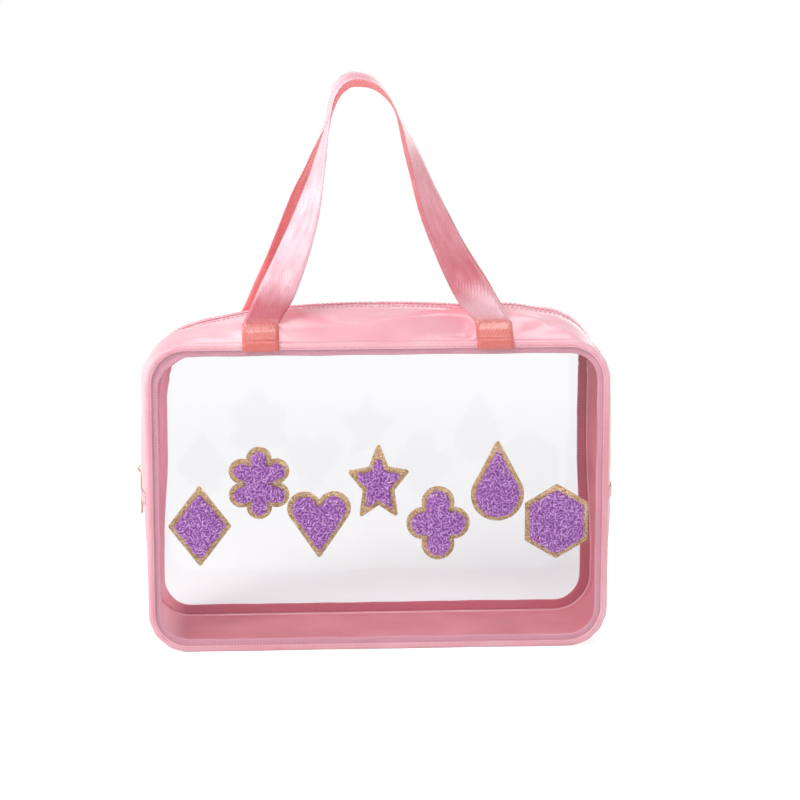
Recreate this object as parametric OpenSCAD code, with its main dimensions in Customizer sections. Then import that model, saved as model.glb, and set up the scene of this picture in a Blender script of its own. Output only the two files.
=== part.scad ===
// Clear zip case with a pink gusset, two webbing handles and seven pile patches.
// Millimetres. X runs across the case, -Y is the front, +Z is up. The origin is the
// middle of the face that the case stands on. Left is -X, as seen from the front.

/* [Case] */
// Width of the front panel over its rim
panel_w = 318; // [280:1:360]
// Height of the front panel over its rim
panel_h = 217; // [200:1:250]
// Depth from the front rim to the back rim
case_depth = 90; // [80:1:110]
// Radius of the panel's four corners
corner_r = 28; // [20:1:36]

/* [Gusset] */
// Thickness of the gusset's coated fabric
fabric_t = 1.2; // [0.8:0.1:1.6]
// Height of the seam where the base gusset meets the zip gusset
joint_z = 108; // [90:1:120]
// How far the sides swell out between the rims
side_swell = 2.5; // [1:0.5:4]
// How far the top swells up where its corners begin
shoulder_swell = 6; // [4:0.5:9]
// How far the top swells up in its middle
crown_swell = 17; // [12:0.5:20]
// Width of the folded band over each side seam
joint_band_w = 8; // [6:0.5:10]
// Thickness of that band
joint_band_t = 1; // [0.6:0.1:1.4]

/* [Rims] */
// Depth of the rim behind its front face
rim_depth = 5; // [4:0.5:7]
// Width of the lip that the rim turns over the film
lip_w = 4.5; // [3.5:0.5:8]
// Thickness of that lip
lip_t = 1.2; // [0.8:0.1:1.6]
// Thickness of the rim's outer wall
rim_wall_t = 1.5; // [1.2:0.1:2]
// Radius of the rim's rounded front edge
rim_round = 1.6; // [1.2:0.1:2]

/* [Windows] */
// Thickness of the clear film
film_t = 0.6; // [0.3:0.1:1]
// Width of the binding that is sewn behind the film's edge
binding_w = 7; // [5:0.5:12]
// Thickness of that binding
binding_t = 0.8; // [0.5:0.1:1]

/* [Zip] */
// Half the width of the slit between the gusset's folded edges
slit_half = 5.5; // [5:0.1:6.5]
// Distance from the zip's middle to each tape's outer edge
tape_reach = 12; // [10:0.5:16]
// Thickness of the tape
tape_t = 0.7; // [0.5:0.1:0.9]
// Pitch of the teeth along one row
tooth_pitch = 3; // [2.8:0.1:4]
// Width of a tooth along its row
tooth_w = 1.3; // [1:0.05:1.35]
// Height of a tooth, through the tape
tooth_h = 2.2; // [1.8:0.1:2.4]
// Distance from the zip's middle to the tape's toothed edge
row_reach = 3.6; // [3.2:0.1:4]
// How far a closed row's teeth pass the middle
mesh_reach = 0.6; // [0.3:0.1:0.9]
// Gap between the two rows on the slider's run, where its post passes
post_gap = 1.5; // [1.2:0.1:2]
// Half the length of the two halves of the top that open
mouth_half = 112; // [100:1:118]

/* [Slider] */
// Length of the slider's body
slider_l = 10; // [8:0.5:12]
// Width of the slider's body
slider_w = 10; // [9.4:0.1:10.4]
// Thickness of the slider's two plates
slider_plate_t = 1.1; // [0.8:0.1:1.4]
// Radius of the wire of the slider's bridge and the pull's ring
wire_r = 0.8; // [0.6:0.1:1]
// Length of the flat pull
pull_l = 28; // [20:1:34]
// Width of the flat pull
pull_w = 7; // [5:0.5:9]
// Thickness of the flat pull
pull_t = 1.6; // [1.2:0.1:2]

/* [Handles] */
// Width of the webbing
strap_w = 25; // [20:1:32]
// Thickness of the webbing
strap_t = 1.4; // [1:0.1:2]
// Distance between the middles of a handle's two feet
strap_spacing = 160; // [130:1:180]
// Distance from the panel's face to the line where a handle leaves the top
lift_off = 18; // [14:0.5:20]
// Rise of a handle above that line
handle_rise = 163.5; // [120:0.5:200]
// How far the top of a handle stands to the right of the middle
handle_lean = -12; // [-20:1:20]
// Distance from the case's middle to the middle of the webbing at the top
grip_y = 13.5; // [12.5:0.5:20]
// Turn of the webbing between a foot and the top of the handle
strap_turn = 107; // [90:1:115]
// How early the left leg takes its turn
left_turn_rate = 2; // [1:0.1:3]
// How early the right leg takes its turn
right_turn_rate = 1.5; // [1:0.1:3]
// How far the rounded top reaches down the left leg
left_crown = 29.5; // [20:0.5:40]
// How far the rounded top reaches down the right leg
right_crown = 40; // [28:0.5:50]

/* [Patches] */
// Thickness of a patch's glitter backing
backing_t = 1.2; // [0.8:0.1:1.6]
// Width of backing left bare round the pile
border_w = 3.2; // [2:0.1:4.5]
// Height of the looped pile
pile_t = 3; // [2:0.1:4]
// Distance from the panel's side to the nearest patch
patch_margin = 14; // [8:0.5:24]
// Width of a patch as a share of the distance between neighbours
patch_fill = 1.07; // [0.9:0.01:1.08]
// Height of the middles of the low patches
low_row_z = 90; // [80:1:100]
// How far the other patches stand above them
row_step = 30; // [20:1:40]
// Height of a patch
patch_h = 58; // [50:1:62]

/* [Hidden] */
panel_half = panel_w / 2;
front_y = -case_depth / 2;
gusset_half = case_depth / 2 - rim_depth;
straight_half = panel_half - corner_r;
shoulder_z = panel_h - corner_r;
film_front_y = front_y + lip_t;
film_back_y = film_front_y + film_t;

// Clearances: between sewn layers, between a layer and what is bonded over it, and between
// pieces that move past each other
layer_gap = 0.1;
glue_gap = 0.15;
moving_gap = 0.3;
film_inset = max(rim_wall_t, rim_round) + layer_gap;
// Facets of the swelling fabric, along its run and across its depth
corner_steps = 7;
crown_steps = 24;
cross_steps = 5;
// Stations of a handle's webbing on each leg
leg_steps = 18;

// The tape and teeth lie under the fabric's folded edge
tape_top = -fabric_t - layer_gap;
tape_mid = tape_top - tape_t / 2;
bead_w = 1.6;
bead_in = row_reach - bead_w;
bead_h = tooth_h - 0.6;
tooth_root = row_reach - 0.6;

// The stop stands over the side seam's band, and the slider at rest stands over the stop
stop_l = 2;
stop_t = 0.8;
stop_w = 2 * (row_reach + stop_t);
stop_z = joint_z + joint_band_w / 2 + moving_gap;
slider_z = stop_z + stop_l + moving_gap;

// Room for the teeth in the slider, its flanges and post, and its wire hoop
channel_gap = 0.2;
flange_gap = 0.25;
channel_h = tooth_h + 2 * channel_gap;
flange_t = slider_w / 2 - row_reach - 2 * channel_gap;
post_w = post_gap - 2 * flange_gap;
post_l = 3;
bridge_rise = 2.4;
hoop_r = 2.2;
hoop_x = slider_l * 0.62;

// The pull's pin hangs against the lower leg of the slider's hoop
pin_r = wire_r * 0.9;
pin_drop = hoop_r - wire_r - pin_r - moving_gap;
pivot_z = slider_z + hoop_x - pin_drop;
pivot_lift = channel_h / 2 + slider_plate_t + bridge_rise - wire_r;
ring_half = wire_r + moving_gap + 1.1;
neck_l = hoop_r + wire_r + pin_drop + 0.5;

// The webbing's stack over the rim sets the mouth's hinge line, just above it
strap_stack = glue_gap + strap_t;
mouth_hinge_z = panel_h + strap_stack + channel_gap;
lift_y = front_y + lift_off;
foot_inner_x = strap_spacing / 2 - strap_w / 2;
handle_hinge_z = panel_h + swell_at(foot_inner_x) * across(lift_y)
               + strap_stack + strap_t / 2 + glue_gap;
handle_top_z = handle_hinge_z + handle_rise;

// The patches fill the panel's width from one margin to the other
patch_count = 7;
patch_pitch = (panel_w - 2 * patch_margin) / (patch_count - 1 + patch_fill);
patch_w = patch_pitch * patch_fill;

// ---- Colours ----

pink = "#f7bfca";
rose = "#e79aa6";
clear = [0.95, 0.97, 0.98, 0.35];
gold = "#e3bf8e";
satin = "#f4c3cc";
purple = "#a76cc4";
glitter = "#d3ad6c";

// ---- The swelling surface of the gusset ----

// A smooth step from 0 to 1
function ease(t) = let (c = min(1, max(0, t))) c * c * (3 - 2 * c);

// Share of the swell at depth y, none at the rims and all in the middle
function across(y) = 1 - pow(y / gusset_half, 2);

// Swell of the top at x
function swell_at(x) =
    shoulder_swell + (crown_swell - shoulder_swell) * (1 - pow(x / straight_half, 2));

// A station is [x, z, outward x, outward z, swell]. These walk up the left side, round the
// corner at the top left and along the top, and down the side and round the base.
function side_station(z) = [-panel_half, z, -1, 0, side_swell];
function corner_station(a) =
    [-straight_half + corner_r * cos(a), shoulder_z + corner_r * sin(a), cos(a), sin(a),
     side_swell + (shoulder_swell - side_swell) * ease((180 - a) / 90)];
function top_station(x) = [x, panel_h, 0, 1, swell_at(x)];
function lower_station(z, side) =
    [side * panel_half, z, side, 0,
     side_swell * ease((z - corner_r) / (joint_z - joint_band_w - corner_r))];
function base_corner_station(a, side) =
    [side * (straight_half + corner_r * sin(a)), corner_r - corner_r * cos(a),
     side * sin(a), -cos(a), 0];

left_run = concat(
    [for (z = [joint_z, shoulder_z]) side_station(z)],
    [for (i = [1 : corner_steps]) corner_station(180 - 90 * i / corner_steps)],
    [top_station(-mouth_half - moving_gap / 2)]
);
top_end = mouth_half - moving_gap / 2;
top_run = [for (i = [0 : crown_steps]) top_station(top_end * (2 * i / crown_steps - 1))];
base_run = concat(
    [for (i = [0 : 5]) lower_station(joint_z + (corner_r - joint_z) * i / 5, 1)],
    [for (i = [1 : corner_steps]) base_corner_station(90 - 90 * i / corner_steps, 1)],
    [for (i = [0 : corner_steps]) base_corner_station(90 * i / corner_steps, -1)],
    [for (i = [1 : 5]) lower_station(corner_r + (joint_z - corner_r) * i / 5, -1)]
);
band_run = [for (k = [-1, 1]) side_station(joint_z + k * joint_band_w / 2)];
foot_run = [for (i = [0 : 4]) top_station(foot_inner_x + strap_w * i / 4)];

// Depths of the fabric's facets on the front half, on the half that opens and on the whole
inner_depths = [for (i = [1 : cross_steps - 1])
    -gusset_half + (gusset_half - tape_reach) * i / (cross_steps - 1)];
front_depths = concat([-gusset_half], inner_depths, [-slit_half]);
mouth_depths = concat([-gusset_half + moving_gap], inner_depths, [-slit_half]);
full_depths = [for (i = [-cross_steps : cross_steps]) gusset_half * i / cross_steps];
tape_depths = [-tape_reach, -slit_half, -row_reach];
bead_depths = [-row_reach, -bead_in];
foot_depths = [-gusset_half + moving_gap, inner_depths[0], lift_y + 2];

// The point of a station at depth y, lifted off the fabric's outer surface
function skin_point(s, y, lift) =
    let (out = s[4] * across(y) + lift) [s[0] + s[2] * out, y, s[1] + s[3] * out];

// A closed sheet between two lifts over a run of stations and a row of depths
module sheet(run, depths, low, high) {
    rows = len(run);
    cols = len(depths);
    layer = rows * cols;
    points = [for (lift = [high, low]) for (s = run) for (y = depths) skin_point(s, y, lift)];
    function at(k, i, j) = k * layer + i * cols + j;
    function quad(a, b, c, d) = [[a, c, b], [a, d, c]];
    top = [for (i = [0 : rows - 2]) for (j = [0 : cols - 2])
        each quad(at(0, i, j), at(0, i + 1, j), at(0, i + 1, j + 1), at(0, i, j + 1))];
    bottom = [for (i = [0 : rows - 2]) for (j = [0 : cols - 2])
        each quad(at(1, i, j), at(1, i, j + 1), at(1, i + 1, j + 1), at(1, i + 1, j))];
    sides = [for (i = [0 : rows - 2])
        each concat(quad(at(0, i + 1, 0), at(0, i, 0), at(1, i, 0), at(1, i + 1, 0)),
                    quad(at(0, i, cols - 1), at(0, i + 1, cols - 1),
                         at(1, i + 1, cols - 1), at(1, i, cols - 1)))];
    ends = [for (j = [0 : cols - 2])
        each concat(quad(at(0, 0, j), at(0, 0, j + 1), at(1, 0, j + 1), at(1, 0, j)),
                    quad(at(0, rows - 1, j + 1), at(0, rows - 1, j),
                         at(1, rows - 1, j), at(1, rows - 1, j + 1)))];
    polyhedron(points, concat(top, bottom, sides, ends));
}

// ---- Panels, rims and bindings ----

// A rounded rectangle of the panel's outline, set in by inset, standing in X and Z
module panel_outline(inset) {
    w = panel_w - 2 * inset;
    h = panel_h - 2 * inset;
    r = corner_r - inset;
    translate([0, panel_h / 2]) {
        square([w - 2 * r, h], center = true);
        square([w, h - 2 * r], center = true);
        for (sx = [-1, 1]) for (sy = [-1, 1])
            translate([sx * (w / 2 - r), sy * (h / 2 - r)]) circle(r = r, $fn = 96);
    }
}

// Stands a flat shape up, from depth y backwards by t
module stand(y, t) {
    translate([0, y + t, 0]) rotate([90, 0, 0]) linear_extrude(t) children();
}

module window_film() {
    color(clear)
    stand(film_front_y, film_t) panel_outline(film_inset);
}

module edge_binding() {
    color(rose)
    stand(film_back_y, binding_t) difference() {
        panel_outline(film_inset);
        panel_outline(film_inset + binding_w);
    }
}

// Section of the rim: x is the distance in from the outline, y the depth behind the face
module rim_section() {
    intersection() {
        square(rim_round);
        translate([rim_round, rim_round]) circle(r = rim_round, $fn = 32);
    }
    translate([0, rim_round]) square([rim_wall_t, rim_depth - rim_round]);
    translate([rim_round, 0]) square([lip_w - lip_t / 2 - rim_round, lip_t]);
    translate([lip_w - lip_t / 2, lip_t / 2]) circle(r = lip_t / 2, $fn = 24);
}

// One straight stretch of rim, run along X with its outline at z = 0
module rim_straight(length) {
    translate([-length / 2, front_y, 0]) rotate([90, 0, 90])
        linear_extrude(length) rotate(90) mirror([0, 1]) rim_section();
}

module rim_corner() {
    rotate([-90, 0, 0]) translate([0, 0, front_y]) rotate_extrude(angle = 90, $fn = 96)
        translate([corner_r, 0]) mirror([1, 0]) rim_section();
}

module rim() {
    color(pink) {
        rim_straight(2 * straight_half);
        translate([0, 0, panel_h]) mirror([0, 0, 1]) rim_straight(2 * straight_half);
        for (side = [-1, 1]) scale([side, 1, 1]) {
            translate([panel_half, 0, panel_h / 2]) rotate([0, -90, 0])
                rim_straight(panel_h - 2 * corner_r);
            translate([straight_half, 0, corner_r]) rim_corner();
            translate([straight_half, 0, shoulder_z]) mirror([0, 0, 1]) rim_corner();
        }
    }
}

// ---- Gussets ----

module base_gusset() {
    color(pink) sheet(base_run, full_depths, -fabric_t, 0);
}

module zip_gusset_end() {
    color(pink) sheet(left_run, front_depths, -fabric_t, 0);
}

module mouth_half_fabric() {
    color(pink) sheet(top_run, mouth_depths, -fabric_t, 0);
}

module joint_band() {
    color(rose) sheet(band_run, full_depths, glue_gap, glue_gap + joint_band_t);
}

// ---- Zip ----

// A station's frame at the zip's middle, with its local X along the run and Z outwards
module at_station(s, lift) {
    out = s[4] + lift;
    translate([s[0] + s[2] * out, 0, s[1] + s[3] * out])
        rotate([0, 90 - atan2(s[3], s[2]), 0]) children();
}

// The front row's tooth, with its tip at y = tip
module tooth(tip) {
    translate([-tooth_w / 2, -tooth_root, -tooth_h / 2])
        cube([tooth_w, tooth_root + tip, tooth_h]);
}

// The moulded bead that carries a row's teeth along its tape's edge
module tooth_bead(run) {
    sheet(run, bead_depths, tape_mid - bead_h / 2, tape_mid + bead_h / 2);
}

corner_run_l = (corner_r + side_swell) * PI / 2;
side_run_l = shoulder_z - joint_z;
ledge_l = straight_half - mouth_half;
left_run_l = side_run_l + corner_run_l + ledge_l;

// The station at distance d along the left run, from the side seam up and over
function run_station(d) =
    d < side_run_l ? side_station(joint_z + d)
    : d < side_run_l + corner_run_l ? corner_station(180 - 90 * (d - side_run_l) / corner_run_l)
    : top_station(-straight_half + d - side_run_l - corner_run_l);

// Teeth of one row fill its run. The other row's teeth stand half a pitch along.
first_tooth = stop_z + stop_l + moving_gap + tooth_w / 2 - joint_z;
end_count = floor((left_run_l - first_tooth) / tooth_pitch);
top_count = floor((2 * top_end - tooth_w) / tooth_pitch);
function end_tooth(i, shift) = left_run_l - tooth_pitch * (i + 0.5 + shift);
function top_tooth(i, shift) = tooth_pitch * (i - (top_count - 1) / 2 + shift);

module tape_end() {
    color(rose) sheet(left_run, tape_depths, tape_top - tape_t, tape_top);
}

module tape_top_run() {
    color(rose) sheet(top_run, tape_depths, tape_top - tape_t, tape_top);
}

// Where the slider runs, the rows stand parted for its post
module teeth_end(shift, parted) {
    color(satin) {
        tooth_bead(left_run);
        for (i = [0 : end_count - 1]) {
            d = end_tooth(i, shift);
            at_station(run_station(d), tape_mid)
                tooth(parted && d < side_run_l ? -post_gap / 2 : mesh_reach);
        }
    }
}

module teeth_top_run(shift) {
    color(satin) {
        tooth_bead(top_run);
        for (i = [0 : top_count - 1])
            at_station(top_station(top_tooth(i, shift)), tape_mid) tooth(mesh_reach);
    }
}

// Stands a piece on the zip's side run, with its local X up the run and Z outwards
module on_left_side(z) {
    translate([-panel_half - side_swell - tape_mid, 0, z]) rotate([0, -90, 0]) children();
}

// A crimped stop over both rows, beside the side seam: two plates and the bar between them
module zip_stop() {
    inner_h = tooth_h / 2 + layer_gap;
    bar_w = 2 * (bead_in - layer_gap);
    color(gold) on_left_side(stop_z) {
        for (side = [0, 1]) mirror([0, 0, side])
            translate([0, -stop_w / 2, inner_h]) cube([stop_l, stop_w, stop_t]);
        translate([0, -bar_w / 2, -inner_h - stop_t / 2])
            cube([stop_l, bar_w, 2 * inner_h + stop_t]);
    }
}

// ---- Slider ----

// Outline of the slider's plates: straight sides that draw in to a narrow tail
plate_shoulder = slider_l * 0.42;
plate_r = 1.2;

module slider_plate() {
    tail_half = slider_w * 0.36;
    linear_extrude(slider_plate_t) {
        translate([plate_shoulder, -slider_w / 2])
            square([slider_l - plate_shoulder - plate_r, slider_w]);
        translate([slider_l - plate_r - 0.1, -slider_w / 2 + plate_r])
            square([plate_r + 0.1, slider_w - 2 * plate_r]);
        for (side = [-1, 1])
            translate([slider_l - plate_r, side * (slider_w / 2 - plate_r)])
                circle(r = plate_r, $fn = 32);
        polygon([[0, -tail_half], [0, tail_half], [plate_shoulder + 0.01, slider_w / 2],
                 [plate_shoulder + 0.01, -slider_w / 2]]);
    }
}

// A flange down each long edge of a plate, which holds the row in the channel
module slider_flanges(drop) {
    for (side = [-1, 1])
        translate([plate_shoulder, side * (slider_w / 2 - flange_t / 2) - flange_t / 2, -drop])
            cube([slider_l - plate_shoulder - plate_r, flange_t, drop]);
}

module slider_body() {
    flange_drop = channel_h / 2 - tape_t / 2 - flange_gap;
    color(gold) on_left_side(slider_z) {
        for (side = [0, 1]) mirror([0, 0, side]) translate([0, 0, channel_h / 2]) {
            slider_plate();
            slider_flanges(flange_drop);
        }
        translate([slider_l - post_l - flange_gap, -post_w / 2,
                   -channel_h / 2 - slider_plate_t / 2])
            cube([post_l, post_w, channel_h + slider_plate_t]);
        slider_hoop();
    }
}

// The bridge is a wire hoop along the slider, over its outer plate
module slider_hoop() {
    base = channel_h / 2 + slider_plate_t;
    sunk = slider_plate_t / 2;
    translate([hoop_x, 0, base]) {
        for (side = [-1, 1]) translate([side * hoop_r, 0, -sunk])
            cylinder(r = wire_r, h = bridge_rise - wire_r + sunk, $fn = 32);
        translate([0, 0, bridge_rise - wire_r]) rotate([90, 0, 0])
            rotate_extrude(angle = 180, $fn = 48) translate([hoop_r, 0])
                circle(r = wire_r, $fn = 32);
    }
}

// The pull's stirrup goes through the hoop, and its flat blade hangs below
module slider_pull() {
    blade_r = pull_w / 2;
    blade_top = pull_w * 0.42;
    color(gold) translate([-panel_half - side_swell - tape_mid - pivot_lift, 0, pivot_z]) {
        rotate([90, 0, 0]) cylinder(r = pin_r, h = 2 * ring_half, center = true, $fn = 32);
        for (side = [-1, 1]) translate([0, side * ring_half, 0]) {
            sphere(r = pin_r, $fn = 24);
            translate([0, 0, -neck_l - 1]) cylinder(r = pin_r, h = neck_l + 1, $fn = 32);
        }
        translate([-pull_t / 2, 0, -neck_l]) rotate([0, 90, 0]) linear_extrude(pull_t)
            difference() {
                union() {
                    translate([0, -blade_top]) square([blade_r, 2 * blade_top]);
                    polygon([[blade_r, -blade_top], [blade_r, blade_top],
                             [pull_l - blade_r, blade_r], [pull_l - blade_r, -blade_r]]);
                    translate([pull_l - blade_r, 0]) circle(r = blade_r, $fn = 48);
                }
                translate([pull_l - blade_r, 0]) circle(r = blade_r * 0.45, $fn = 32);
            }
    }
}

// ---- Handles ----

// A point and a direction of a cubic curve
function curve(p, t) =
    pow(1 - t, 3) * p[0] + 3 * pow(1 - t, 2) * t * p[1] + 3 * (1 - t) * t * t * p[2] + pow(t, 3) * p[3];
function curve_dir(p, t) =
    3 * pow(1 - t, 2) * (p[1] - p[0]) + 6 * (1 - t) * t * (p[2] - p[1]) + 3 * t * t * (p[3] - p[2]);
function unit(v) = v / norm(v);

// Where a leg heads as it leaves its foot, as shares of the spacing and of the rise
left_knee = [0.156, 0.61];
right_knee = [0.125, 0.49];

// The curve of one leg of the front handle, from its foot to the top
function leg(side) =
    let (
        knee = side < 0 ? left_knee : right_knee,
        crown = side < 0 ? left_crown : right_crown
    )
    [
        [side * strap_spacing / 2, lift_y, handle_hinge_z],
        [side * strap_spacing * knee[0], lift_y, handle_hinge_z + handle_rise * knee[1]],
        [handle_lean + side * crown, -grip_y, handle_top_z],
        [handle_lean, -grip_y, handle_top_z]
    ];

// Corners of the webbing's section at t, from -1 at the left foot to 1 at the right foot
function strap_section(t) =
    let (
        side = t < 0 ? -1 : 1,
        u = 1 - abs(t),
        path = leg(side),
        middle = curve(path, u),
        along = unit(-side * curve_dir(path, u)),
        rate = side < 0 ? left_turn_rate : right_turn_rate,
        turn = strap_turn * (1 - pow(1 - u, rate)),
        outward = unit(cross(along, [0, 1, 0])),
        rearward = cross(outward, along),
        wide = unit(ease(u / 0.12) * (cos(turn) * outward + sin(turn) * rearward)
                    + (1 - ease(u / 0.12)) * [side, 0, 0]),
        thick = unit(cross(along, wide))
    )
    [for (c = [[-1, -1], [1, -1], [1, 1], [-1, 1]])
        middle + wide * c[0] * strap_w / 2 + thick * c[1] * strap_t / 2];

module strap_loop() {
    count = 2 * leg_steps + 1;
    points = [for (i = [-leg_steps : leg_steps]) each strap_section(i / leg_steps)];
    walls = [for (i = [0 : count - 2]) for (j = [0 : 3])
        let (a = 4 * i + j, b = 4 * i + (j + 1) % 4)
        each [[a, a + 4, b + 4], [a, b + 4, b]]];
    last = 4 * (count - 1);
    color(satin)
    polyhedron(points, concat(walls, [[0, 1, 2], [0, 2, 3]],
                              [[last, last + 2, last + 1], [last, last + 3, last + 2]]));
}

// The webbing's feet lie on the top, under the handle's fold line
module strap_feet() {
    color(rose) for (side = [-1, 1]) scale([side, 1, 1])
        sheet(foot_run, foot_depths, glue_gap, strap_stack);
}

// Its ends tuck over the rim and down to the seam at the lip's edge
module strap_tucks() {
    inner_r = rim_round + glue_gap;
    outer_r = rim_round + strap_stack;
    color(rose) for (side = [-1, 1]) translate([side * strap_spacing / 2 - strap_w / 2, 0, 0])
        rotate([90, 0, 90]) linear_extrude(strap_w) {
            translate([front_y - strap_stack, panel_h - lip_w])
                square([strap_t, lip_w - rim_round]);
            translate([front_y + rim_round, panel_h + glue_gap])
                square([rim_depth - rim_round - moving_gap, strap_t]);
            translate([front_y + rim_round, panel_h - rim_round]) difference() {
                circle(r = outer_r, $fn = 48);
                circle(r = inner_r, $fn = 48);
                translate([0, -outer_r - 1]) square([outer_r + 1, 2 * outer_r + 2]);
                translate([-outer_r - 1, -outer_r - 1]) square([2 * outer_r + 2, outer_r + 1]);
            }
        }
}

// ---- Patches ----

// Generic motifs, each fitted to the patch's width and height
module lozenge() {
    polygon([[-patch_w / 2, 0], [0, patch_h / 2], [patch_w / 2, 0], [0, -patch_h / 2]]);
}

module heart() {
    lobe_r = patch_w * 0.27;
    lobe_x = patch_w / 2 - lobe_r;
    lobe_y = patch_h * 0.2;
    for (side = [-1, 1]) scale([side, 1]) {
        translate([lobe_x, lobe_y]) circle(r = lobe_r, $fn = 40);
        polygon([[0, -patch_h * 0.42], [lobe_x + lobe_r * cos(-38), lobe_y + lobe_r * sin(-38)],
                 [lobe_x, lobe_y + lobe_r * 0.6], [-0.1, lobe_y + lobe_r * 0.5], [-0.1, -patch_h * 0.42]]);
    }
}

module flower() {
    petal_r = patch_w * 0.2;
    for (a = [30 : 60 : 330])
        translate([(patch_w / 2 - petal_r) * cos(a) * 1.05, (patch_h * 0.44 - petal_r) * sin(a)])
            circle(r = petal_r, $fn = 24);
    circle(r = patch_w * 0.3, $fn = 24);
}

module star() {
    tip_r = patch_h * 0.52;
    draw_in = patch_w / (2 * tip_r * cos(18));
    translate([0, -patch_h * 0.03]) polygon([for (i = [0 : 9])
        let (r = i % 2 == 0 ? tip_r : tip_r * 0.5, a = 90 + 36 * i)
        [r * cos(a) * draw_in, r * sin(a)]]);
}

module clover() {
    leaf_r = patch_w * 0.26;
    for (a = [0 : 90 : 270])
        translate([(patch_w / 2 - leaf_r) * cos(a), (patch_h * 0.45 - leaf_r) * sin(a)])
            circle(r = leaf_r, $fn = 32);
    circle(r = patch_w * 0.3, $fn = 16);
}

module drop() {
    bowl_r = patch_w * 0.42;
    bowl_y = -patch_h / 2 + bowl_r;
    tip_y = patch_h / 2;
    lean = acos(bowl_r / (tip_y - bowl_y));
    translate([0, bowl_y]) circle(r = bowl_r, $fn = 48);
    polygon([[0, tip_y], [bowl_r * sin(lean), bowl_y + bowl_r * cos(lean)],
             [-bowl_r * sin(lean), bowl_y + bowl_r * cos(lean)]]);
}

module hexagon() {
    for (side = [-1, 1]) scale([side, 1])
        polygon([[0, patch_h * 0.46], [patch_w / 2, patch_h * 0.23],
                 [patch_w / 2, -patch_h * 0.23], [0, -patch_h * 0.46]]);
}

module motif(i) {
    if (i == 1) lozenge();
    if (i == 2) flower();
    if (i == 3) heart();
    if (i == 4) star();
    if (i == 5) clover();
    if (i == 6) drop();
    if (i == 7) hexagon();
}

// The motif with rounded points, set in from its edge
module soft_motif(i, inset) {
    offset(r = 1.5, $fn = 16) offset(delta = -1.5 - inset) motif(i);
}

function patch_x(i) = (i - (patch_count + 1) / 2) * patch_pitch;
function patch_z(i) = low_row_z + (i % 2 == 0 ? row_step : 0);

module place_patch(i, y, t) {
    translate([patch_x(i), 0, patch_z(i)]) stand(y - t, t) children();
}

module patch_backing(i) {
    color(glitter) place_patch(i, film_front_y, backing_t) soft_motif(i, 0);
}

// The pile is rounded over towards its edge
module patch_pile(i) {
    shoulder_t = pile_t * 0.6;
    crown_inset = pile_t * 0.45;
    color(purple) {
        place_patch(i, film_front_y - backing_t, shoulder_t) soft_motif(i, border_w);
        place_patch(i, film_front_y - backing_t, pile_t) soft_motif(i, border_w + crown_inset);
    }
}

// ---- Mirrored pieces ----

module to_back() {
    mirror([0, 1, 0]) children();
}

module to_right() {
    mirror([1, 0, 0]) children();
}

// ---- Nodes ----

window_film();  // front_window
to_back() window_film();  // back_window
base_gusset();
zip_gusset_end();  // zip_gusset_front_left
to_right() zip_gusset_end();  // zip_gusset_front_right
to_back() zip_gusset_end();  // zip_gusset_back_left
to_back() to_right() zip_gusset_end();  // zip_gusset_back_right
mouth_half_fabric();  // mouth_front
to_back() mouth_half_fabric();  // mouth_back
rim();  // front_rim
to_back() rim();  // back_rim
edge_binding();  // front_binding
to_back() edge_binding();  // back_binding
joint_band();  // joint_band_left
to_right() joint_band();  // joint_band_right
tape_end();  // zip_tape_front_left
tape_top_run();  // zip_tape_front_top
to_right() tape_end();  // zip_tape_front_right
to_back() tape_end();  // zip_tape_back_left
to_back() tape_top_run();  // zip_tape_back_top
to_back() to_right() tape_end();  // zip_tape_back_right
teeth_end(0, true);  // zip_teeth_front_left
teeth_top_run(0);  // zip_teeth_front_top
to_right() teeth_end(0.5, false);  // zip_teeth_front_right
to_back() teeth_end(0.5, true);  // zip_teeth_back_left
to_back() teeth_top_run(0.5);  // zip_teeth_back_top
to_back() to_right() teeth_end(0, false);  // zip_teeth_back_right
zip_stop();  // zip_stop_left
to_right() zip_stop();  // zip_stop_right
slider_body();
slider_pull();
strap_loop();  // handle_front
strap_feet();  // handle_front_feet
strap_tucks();  // handle_front_tucks
to_back() strap_loop();  // handle_back
to_back() strap_feet();  // handle_back_feet
to_back() strap_tucks();  // handle_back_tucks
for (i = [1 : patch_count]) {
    patch_backing(i);
    patch_pile(i);
}
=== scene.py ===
"""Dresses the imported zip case: sewn gusset, clear windows, zip, webbing handles and patches.

Sizes in the classes are millimetres, as a maker writes them. Meshes are in metres.
"""

import logging
import math
from dataclasses import dataclass
from enum import Enum
from typing import Iterable, Optional, Sequence

import bmesh
import bpy
import numpy as np
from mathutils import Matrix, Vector, noise
from mathutils.bvhtree import BVHTree


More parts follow.
